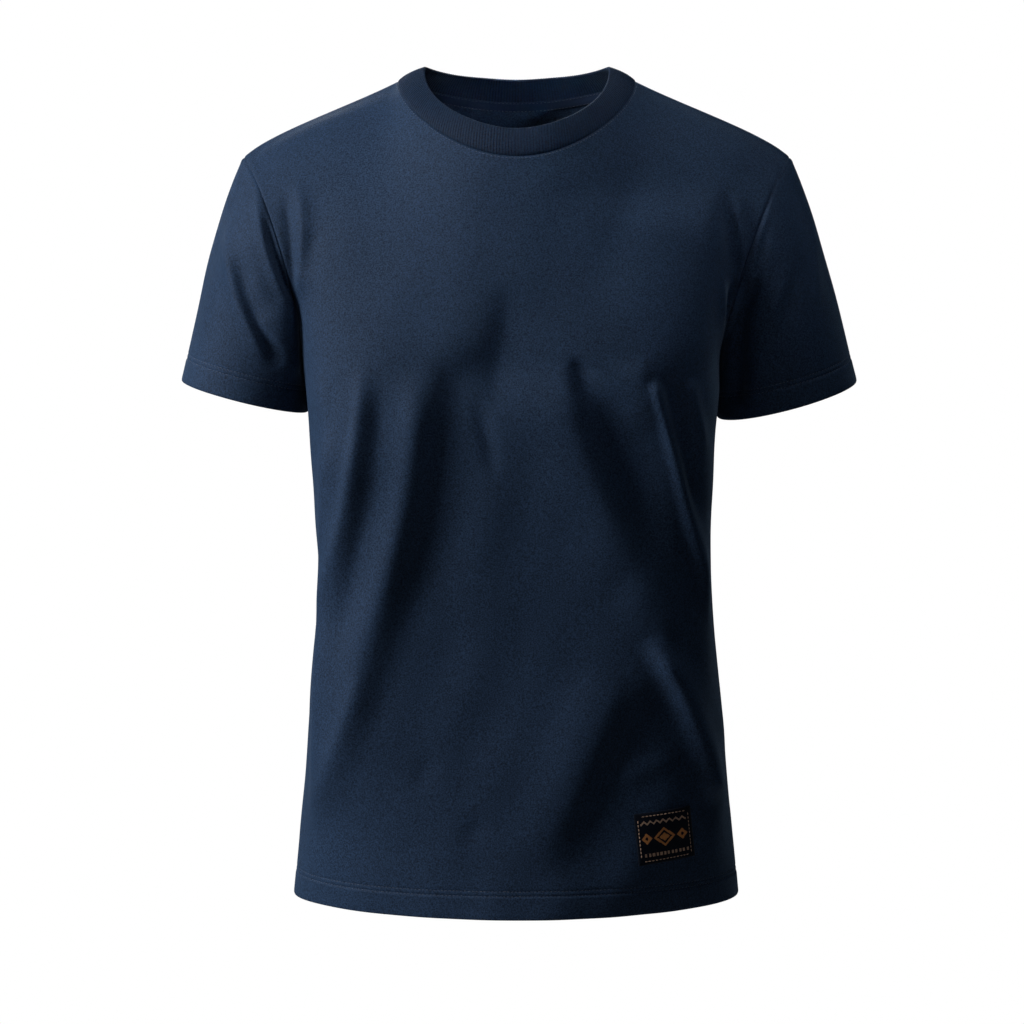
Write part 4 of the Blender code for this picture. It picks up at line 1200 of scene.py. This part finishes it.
def twill_finish(name, rgb, line, depth):
    """Herringbone tape: slanting lines that turn back and forth along its length, with painted
    shade in the grooves between them and painted light on them, over random grain.
    """
    finish = Finish(name, Specular_IOR_Level=0.06, Sheen_Weight=0.05, Sheen_Roughness=0.4)
    u, v = finish.flat()
    lines_to_turn, slope = 14, 4
    zigzag = ((u / (line * lines_to_turn)).part() - 0.5).size() * 2
    height = ((v / line + zigzag * slope).part() * np.pi).sine()
    grain = finish.grain(1200.0)
    finish.set(
        # painted shade in the twill's grooves and painted light on its raised lines, mixed with
        # random grain
        Base_Color=finish.tones(height * 0.55 + grain * 0.45, rgb, 0.55, 1.5),
        Roughness=0.8 + grain * 0.12,
        Normal=finish.bump(height * 0.8 + grain * 0.2, depth),
    )
    return finish.material


# The patch's ornament, in millimetres from its middle
LARGE, SMALL, SMALL_PLACE = (9.5, 8.6), (4.6, 5.2), 15.4
RING_INSIDE, RING_DOT, SMALL_HOLE = 0.70, 0.46, 0.34
ZIGZAG = dict(place=12.8, length=5.5, height=5.2, half=0.85)
BARS = dict(place=-14.6, length=3.3, gap=0.42, half=1.6)
ORNAMENT_HALF = 19.6


def lozenge(u, v, size):
    """0 at a lozenge's centre and 1 on its outline: the sum of the two distances' shares."""
    return u.size() / size[0] + v.size() / size[1]


def ornament(u, v, pitch):
    """The patch's chart in whole threads, so every edge is stepped: a ringed lozenge between
    two small ones, a zigzag above and a row of bars below."""
    s, t = ((place / pitch - (place / pitch).part() + 0.5) * (pitch / MM) for place in (u, v))
    large = lozenge(s, t, LARGE)
    beside = lozenge(s.size() - SMALL_PLACE, t, SMALL)
    ring = large.over(RING_INSIDE) * (1 - large.over(1.0)) + (1 - large.over(RING_DOT))
    small = (1 - beside.over(1.0)) * beside.over(SMALL_HOLE)
    within = 1 - s.size().over(ORNAMENT_HALF)
    wave = ((s / ZIGZAG["length"]).part() - 0.5).size() * ZIGZAG["height"]
    zigzag = (1 - (t - ZIGZAG["place"] - wave).size().over(ZIGZAG["half"])) * within
    bars = (1 - (t - BARS["place"]).size().over(BARS["half"])) * within
    bars = bars * (s / BARS["length"]).part().over(BARS["gap"])
    return ring.most(small), zigzag.most(bars)


def patch_finish(name, rgb, gold, tan, pitch):
    """The woven patch: its ornament in two threads on a dark ground. Its colour has painted shade
    in the weave's hollows and painted light on its raised cells, over random grain.
    """
    finish = Finish(name, Specular_IOR_Level=0.06, Sheen_Weight=0.04, Sheen_Roughness=0.4)
    u, v = finish.flat()
    picture, lines = ornament(u, v, pitch)
    weave = (u / pitch * np.pi).sine() * (v / pitch * np.pi).sine() * 0.5 + 0.5
    grain = finish.grain(1300.0)
    # painted shade in the weave's hollows and painted light on its raised cells, mixed with random
    # grain, for the ground and both threads
    tone = weave * 0.5 + grain * 0.5
    orange = finish.tones(tone, gold, 0.55, 1.35)
    woven = finish.mix(picture, finish.tones(tone, rgb, 0.5, 1.5), orange)
    finish.set(
        Base_Color=finish.mix(lines, woven, finish.tones(tone, tan, 0.5, 1.3)),
        Roughness=0.72 + grain * 0.12,
        Normal=finish.bump(picture.most(lines) * 0.7 + weave * 0.3, 0.35 * MM),
    )
    return finish.material


def finish_of(name, make, *colours, **sizes):
    """A finish is made once and then shared."""
    return bpy.data.materials.get(name) or make(name, *colours, **sizes)


def finishes(context):
    c = context.scene.shirt_colours
    knitted = dict(wale=0.85 * MM, course=0.68 * MM, depth=0.10 * MM)
    # rib=RIB_PITCH paints shade into the collar's rib hollows and light onto its ribs.
    ribbed = dict(wale=RIB_PITCH / 2, course=0.75 * MM, depth=0.12 * MM, rib=RIB_PITCH)
    woven = (tuple(c.patch), tuple(c.gold), tuple(c.tan))
    return dict(
        jersey=finish_of("jersey_knit", cotton, tuple(c.jersey), **knitted),
        rib=finish_of("rib_knit", cotton, tuple(c.rib), **ribbed),
        tape=finish_of(
            "tape_twill", twill_finish, tuple(c.tape), line=0.70 * MM, depth=0.12 * MM
        ),
        thread=finish_of(
            "sewing_thread", thread_finish, tuple(c.thread), ply_length=0.55 * MM
        ),
        patch=finish_of("patch_weave", patch_finish, *woven, pitch=0.60 * MM),
        tan=finish_of(
            "patch_thread", thread_finish, tuple(c.tan), ply_length=0.60 * MM, sheen=0.05
        ),
    )


# Operators


class SHIRT_OT_panels(bpy.types.Operator):
    """Make the front and the back, with their folds and hems"""

    bl_idname = "shirt.make_panels"
    bl_label = "Front and back"

    def execute(self, context):
        made, paint = cloth(context), finishes(context)
        for name in ("front", "back"):
            piece = wall_piece(name + "_cloth", made[name], paint["jersey"])
            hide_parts(name)
        return {"FINISHED"}


class SHIRT_OT_sleeves(bpy.types.Operator):
    """Make both set-in sleeves"""

    bl_idname = "shirt.make_sleeves"
    bl_label = "Sleeves"

    def execute(self, context):
        made, paint = cloth(context), finishes(context)
        for side in ("right", "left"):
            node = "sleeve_" + side
            piece = wall_piece(node + "_cloth", made[node], paint["jersey"], wrap=True)
            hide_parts(node)
        return {"FINISHED"}


class SHIRT_OT_collar(bpy.types.Operator):
    """Make the doubled rib band of the neck"""

    bl_idname = "shirt.make_collar"
    bl_label = "Collar"

    def execute(self, context):
        made, paint = cloth(context)["collar"], finishes(context)
        grid = made["grid"]
        index = np.arange(grid[..., 0].size).reshape(grid.shape[:2])
        points, faces = grid.reshape(-1, 3), quads(np.pad(index, ((0, 1), (0, 1)), "wrap"))
        faces = facing_out(points, faces, points[faces[:50, 0]] * LEVEL)
        flat = made["flat"].reshape(-1, 2)
        piece = add_piece("collar_band", points, faces, flat, paint["rib"])
        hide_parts("collar")
        return {"FINISHED"}


class SHIRT_OT_neck_tape(bpy.types.Operator):
    """Make the tape that covers the seam inside the back neck"""

    bl_idname = "shirt.make_neck_tape"
    bl_label = "Neck tape"

    def execute(self, context):
        made, paint = cloth(context), finishes(context)
        back, sizes = made["back"], made["sizes"]
        column = np.where(np.abs(back["share"]) <= TAPE_PLACE["share"])[0]
        across = np.linspace(0, 1, TAPE_STATIONS)
        down = TAPE_PLACE["below"] + sizes.tape * across
        skin, way = down_from_top(back, column, down, "inner")
        crown = TAPE_CROWN * (1 - (2 * across - 1) ** 8)
        outside = skin - way * (TAPE_PLACE["off"] + TAPE_WALL + crown[:, None, None])
        inside = skin - way * TAPE_PLACE["off"]
        along_tape = run(outside, 1)
        flat = np.stack([along_tape, np.broadcast_to(down[:, None], along_tape.shape)], -1)
        shape = dict(outer=outside, inner=inside, normals=-way, flat=flat)
        piece = wall_piece("neck_tape_cloth", shape, paint["tape"])
        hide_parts("neck_tape")
        rows = [stitch_row(outside[k], -way[k], sizes, seed=40 + k) for k in (1, -2)]
        sewn = stitches("neck_tape_stitches", rows, paint["thread"])
        return {"FINISHED"}


class SHIRT_OT_sewing(bpy.types.Operator):
    """Sew the hems with twin needles and topstitch the neck"""

    bl_idname = "shirt.make_sewing"
    bl_label = "Hem and neck stitches"

    def execute(self, context):
        made, paint = cloth(context), finishes(context)
        sizes = made["sizes"]
        rows = hem_stitches(made["front"], sizes, (10, 11))
        rows += hem_stitches(made["back"], sizes, (12, 13))
        stitches("hem_stitches", rows, paint["thread"])
        for side in CUFF:
            rows = hem_stitches(made["sleeve_" + side], sizes, (20, 21), closed=True)
            stitches(f"sleeve_{side}_stitches", rows, paint["thread"])
        rows = []
        for seed, name in ((30, "front"), (31, "back")):
            column = np.where(np.abs(made[name]["share"]) <= NECK_SHARE)[0]
            path, way = down_from_top(made[name], column, np.array([sizes.topstitch]))
            rows.append(stitch_row(path[0], way[0], sizes, seed))
        stitches("neck_stitches", rows, paint["thread"])
        return {"FINISHED"}


def place_on_front(front, s, t):
    """Places on the front's grid for points s across and t up from the patch's middle, found by
    stepping half of the remaining distance each time."""
    turn = np.radians(PATCH_PLACE["turn"])
    goal_x = PATCH_PLACE["x"] + s * np.cos(turn) - t * np.sin(turn)
    goal_z = PATCH_PLACE["z"] + s * np.sin(turn) + t * np.cos(turn)
    row = np.full(s.shape, PATCH_START[0])
    column = np.full(s.shape, PATCH_START[1] * len(front["share"]))
    for _ in range(PATCH_SEARCH):
        here = bilinear(front["outer"], row, column)
        wide = bilinear(front["outer"], row, column + 0.5)[..., 0] - here[..., 0]
        high = bilinear(front["outer"], row + 0.5, column)[..., 2] - here[..., 2]
        column += np.clip(0.5 * (goal_x - here[..., 0]) / wide, -4, 4)
        row += np.clip(0.5 * (goal_z - here[..., 2]) / high, -4, 4)
    return row, column


class SHIRT_OT_patch(bpy.types.Operator):
    """Make the woven patch near the hem"""

    bl_idname = "shirt.make_patch"
    bl_label = "Patch"

    def execute(self, context):
        made, paint = cloth(context), finishes(context)
        front, sizes = made["front"], made["sizes"]
        wide, high = sizes.patch_width, sizes.patch_height
        s, t = np.meshgrid(
            np.linspace(-0.5, 0.5, PATCH_COLUMNS), np.linspace(-0.5, 0.5, PATCH_ROWS)
        )
        s, t = s * wide, t * high
        skin, way = on_skin(front, *place_on_front(front, s, t))
        edge = np.minimum(wide / 2 - np.abs(s), high / 2 - np.abs(t))
        puff = PATCH_PUFF * np.sqrt(smooth(*PATCH_ROUNDING, edge))
        outside = skin + way * (PATCH_PLACE["off"] + PATCH_WALL + puff)[..., None]
        inside = skin + way * PATCH_PLACE["off"]
        shape = dict(outer=outside, inner=inside, normals=way, flat=np.stack([s, t], -1))
        piece = wall_piece("patch_cloth", shape, paint["patch"])
        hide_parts("patch")
        near, far = BORDER_INSET, -1 - BORDER_INSET
        forward, backward = slice(near, -near), slice(far, near - 1, -1)
        lines = ((backward, near), (near, forward), (forward, far), (far, backward))
        rows = [
            stitch_row(outside[line], way[line], sizes, 50 + k, BORDER_THREAD)
            for k, line in enumerate(lines)
        ]
        sewn = stitches("patch_border", rows, paint["tan"])
        return {"FINISHED"}


CAMERA = dict(
    place=(-0.0042, -5.0, 0.199), aim=(-0.0042, 0.0, -0.3785), lens=200.9, sensor=36.0, far=100.0
)
LIGHTS = {
    # name: place, aim, width, height, watts, spread in degrees
    "key": ((-3.52, -1.07, 1.2), (0.0, 0.0, -0.40), 1.2, 1.4, 252.0, 180.0),
    "top": ((0.6, -0.25, 3.2), (0.0, 0.0, -0.2), 1.4, 1.0, 45.0, 180.0),
    "fill": ((0.6, -4.4, 0.3), (0.0, 0.0, -0.4), 2.4, 2.4, 9.5, 180.0),
    "back": ((-1.0, 3.6, 1.5), (0.0, 0.0, -0.3), 1.8, 1.6, 75.0, 180.0),
    # two gridded boxes: on the wearer's left shoulder, and into the neck
    "side": ((2.2, -2.2, 1.6), (0.09, -0.06, -0.045), 0.3, 0.3, 0.10, 8.0),
    "neck": ((0.0, -6.0, 0.03), (0.0, 0.0, 0.032), 0.05, 0.05, 0.035, 2.1),
}
FLOOR = dict(radius=1.4, height=-2.4, sides=96)
WHITE = (1.0, 1.0, 1.0, 1.0)
WORLD_LIGHT, WORLD_SEEN = 0.015, 1.0  # how bright the background shines and looks


def aimed(name, data, place, aim):
    """An object with this data at a place, looking at its aim."""
    thing = add_object(name, data)
    thing.location = place
    thing.rotation_euler = (Vector(aim) - thing.location).to_track_quat("-Z", "Y").to_euler()
    return thing


def make_floor():
    """A pale disc below the shirt, out of the camera's sight."""
    angle = np.linspace(0, TAU, FLOOR["sides"], endpoint=False)
    ring = np.stack([np.cos(angle), np.sin(angle), np.zeros_like(angle)], -1)
    points = ring * FLOOR["radius"] + UP * FLOOR["height"]
    mesh = bpy.data.meshes.new("floor")
    mesh.from_pydata(points.tolist(), [], [list(range(FLOOR["sides"]))])
    pale = Finish("pale_floor", Roughness=0.9)
    pale.set(Base_Color=pale.tones(pale.grain(3.0, detail=2.0), WHITE, 0.80, 0.86))
    mesh.materials.append(pale.material)
    add_object("floor", mesh)


def make_world():
    """A white background that lights the shirt only faintly."""
    world = bpy.data.worlds.new("studio")
    bpy.context.scene.world = world
    sky = Nodes(world, "Background")
    seen = sky.node("LightPath", output="Is Camera Ray")
    strength = sky.node("Mix", places={0: seen, 2: WORLD_LIGHT, 3: WORLD_SEEN})
    sky.set(Strength=strength, Color=WHITE)


class SHIRT_OT_stage(bpy.types.Operator):
    """Make the floor, the lights and the camera"""

    bl_idname = "shirt.make_stage"
    bl_label = "Stage"

    def execute(self, context):
        lens = bpy.data.cameras.new("camera")
        lens.sensor_width, lens.lens = CAMERA["sensor"], CAMERA["lens"]
        lens.clip_end = CAMERA["far"]
        context.scene.camera = aimed("camera", lens, CAMERA["place"], CAMERA["aim"])
        for name, (place, aim, width, height, watts, spread) in LIGHTS.items():
            lamp = bpy.data.lights.new(name, "AREA")
            lamp.shape, lamp.size, lamp.size_y, lamp.energy = "RECTANGLE", width, height, watts
            lamp.spread = np.radians(spread)
            aimed(name, lamp, place, aim)
        make_floor()
        make_world()
        context.scene.view_settings.view_transform = "Standard"
        return {"FINISHED"}


OPERATORS = (
    SHIRT_OT_panels,
    SHIRT_OT_sleeves,
    SHIRT_OT_collar,
    SHIRT_OT_neck_tape,
    SHIRT_OT_sewing,
    SHIRT_OT_patch,
    SHIRT_OT_stage,
)


class SHIRT_PT_sidebar(bpy.types.Panel):
    """Lists the shirt's pieces, sizes and colours"""

    bl_idname = "SHIRT_PT_sidebar"
    bl_label = "T-shirt"
    bl_space_type = "VIEW_3D"
    bl_region_type = "UI"
    bl_category = "T-shirt"

    def draw(self, context):
        for group in (context.scene.shirt_sizes, context.scene.shirt_colours):
            box = self.layout.box()
            for name in type(group).__annotations__:
                box.prop(group, name)
        for operator in OPERATORS:
            self.layout.operator(operator.bl_idname)


CLASSES = (ShirtSizes, ShirtColours, *OPERATORS, SHIRT_PT_sidebar)


def register():
    for cls in CLASSES:
        bpy.utils.register_class(cls)
    bpy.types.Scene.shirt_sizes = PointerProperty(type=ShirtSizes)
    bpy.types.Scene.shirt_colours = PointerProperty(type=ShirtColours)


def unregister():
    del bpy.types.Scene.shirt_colours
    del bpy.types.Scene.shirt_sizes
    for cls in reversed(CLASSES):
        bpy.utils.unregister_class(cls)


def main():
    register()
    for operator in OPERATORS:
        group, name = operator.bl_idname.split(".")
        getattr(getattr(bpy.ops, group), name)()


if __name__ == "__main__":
    main()
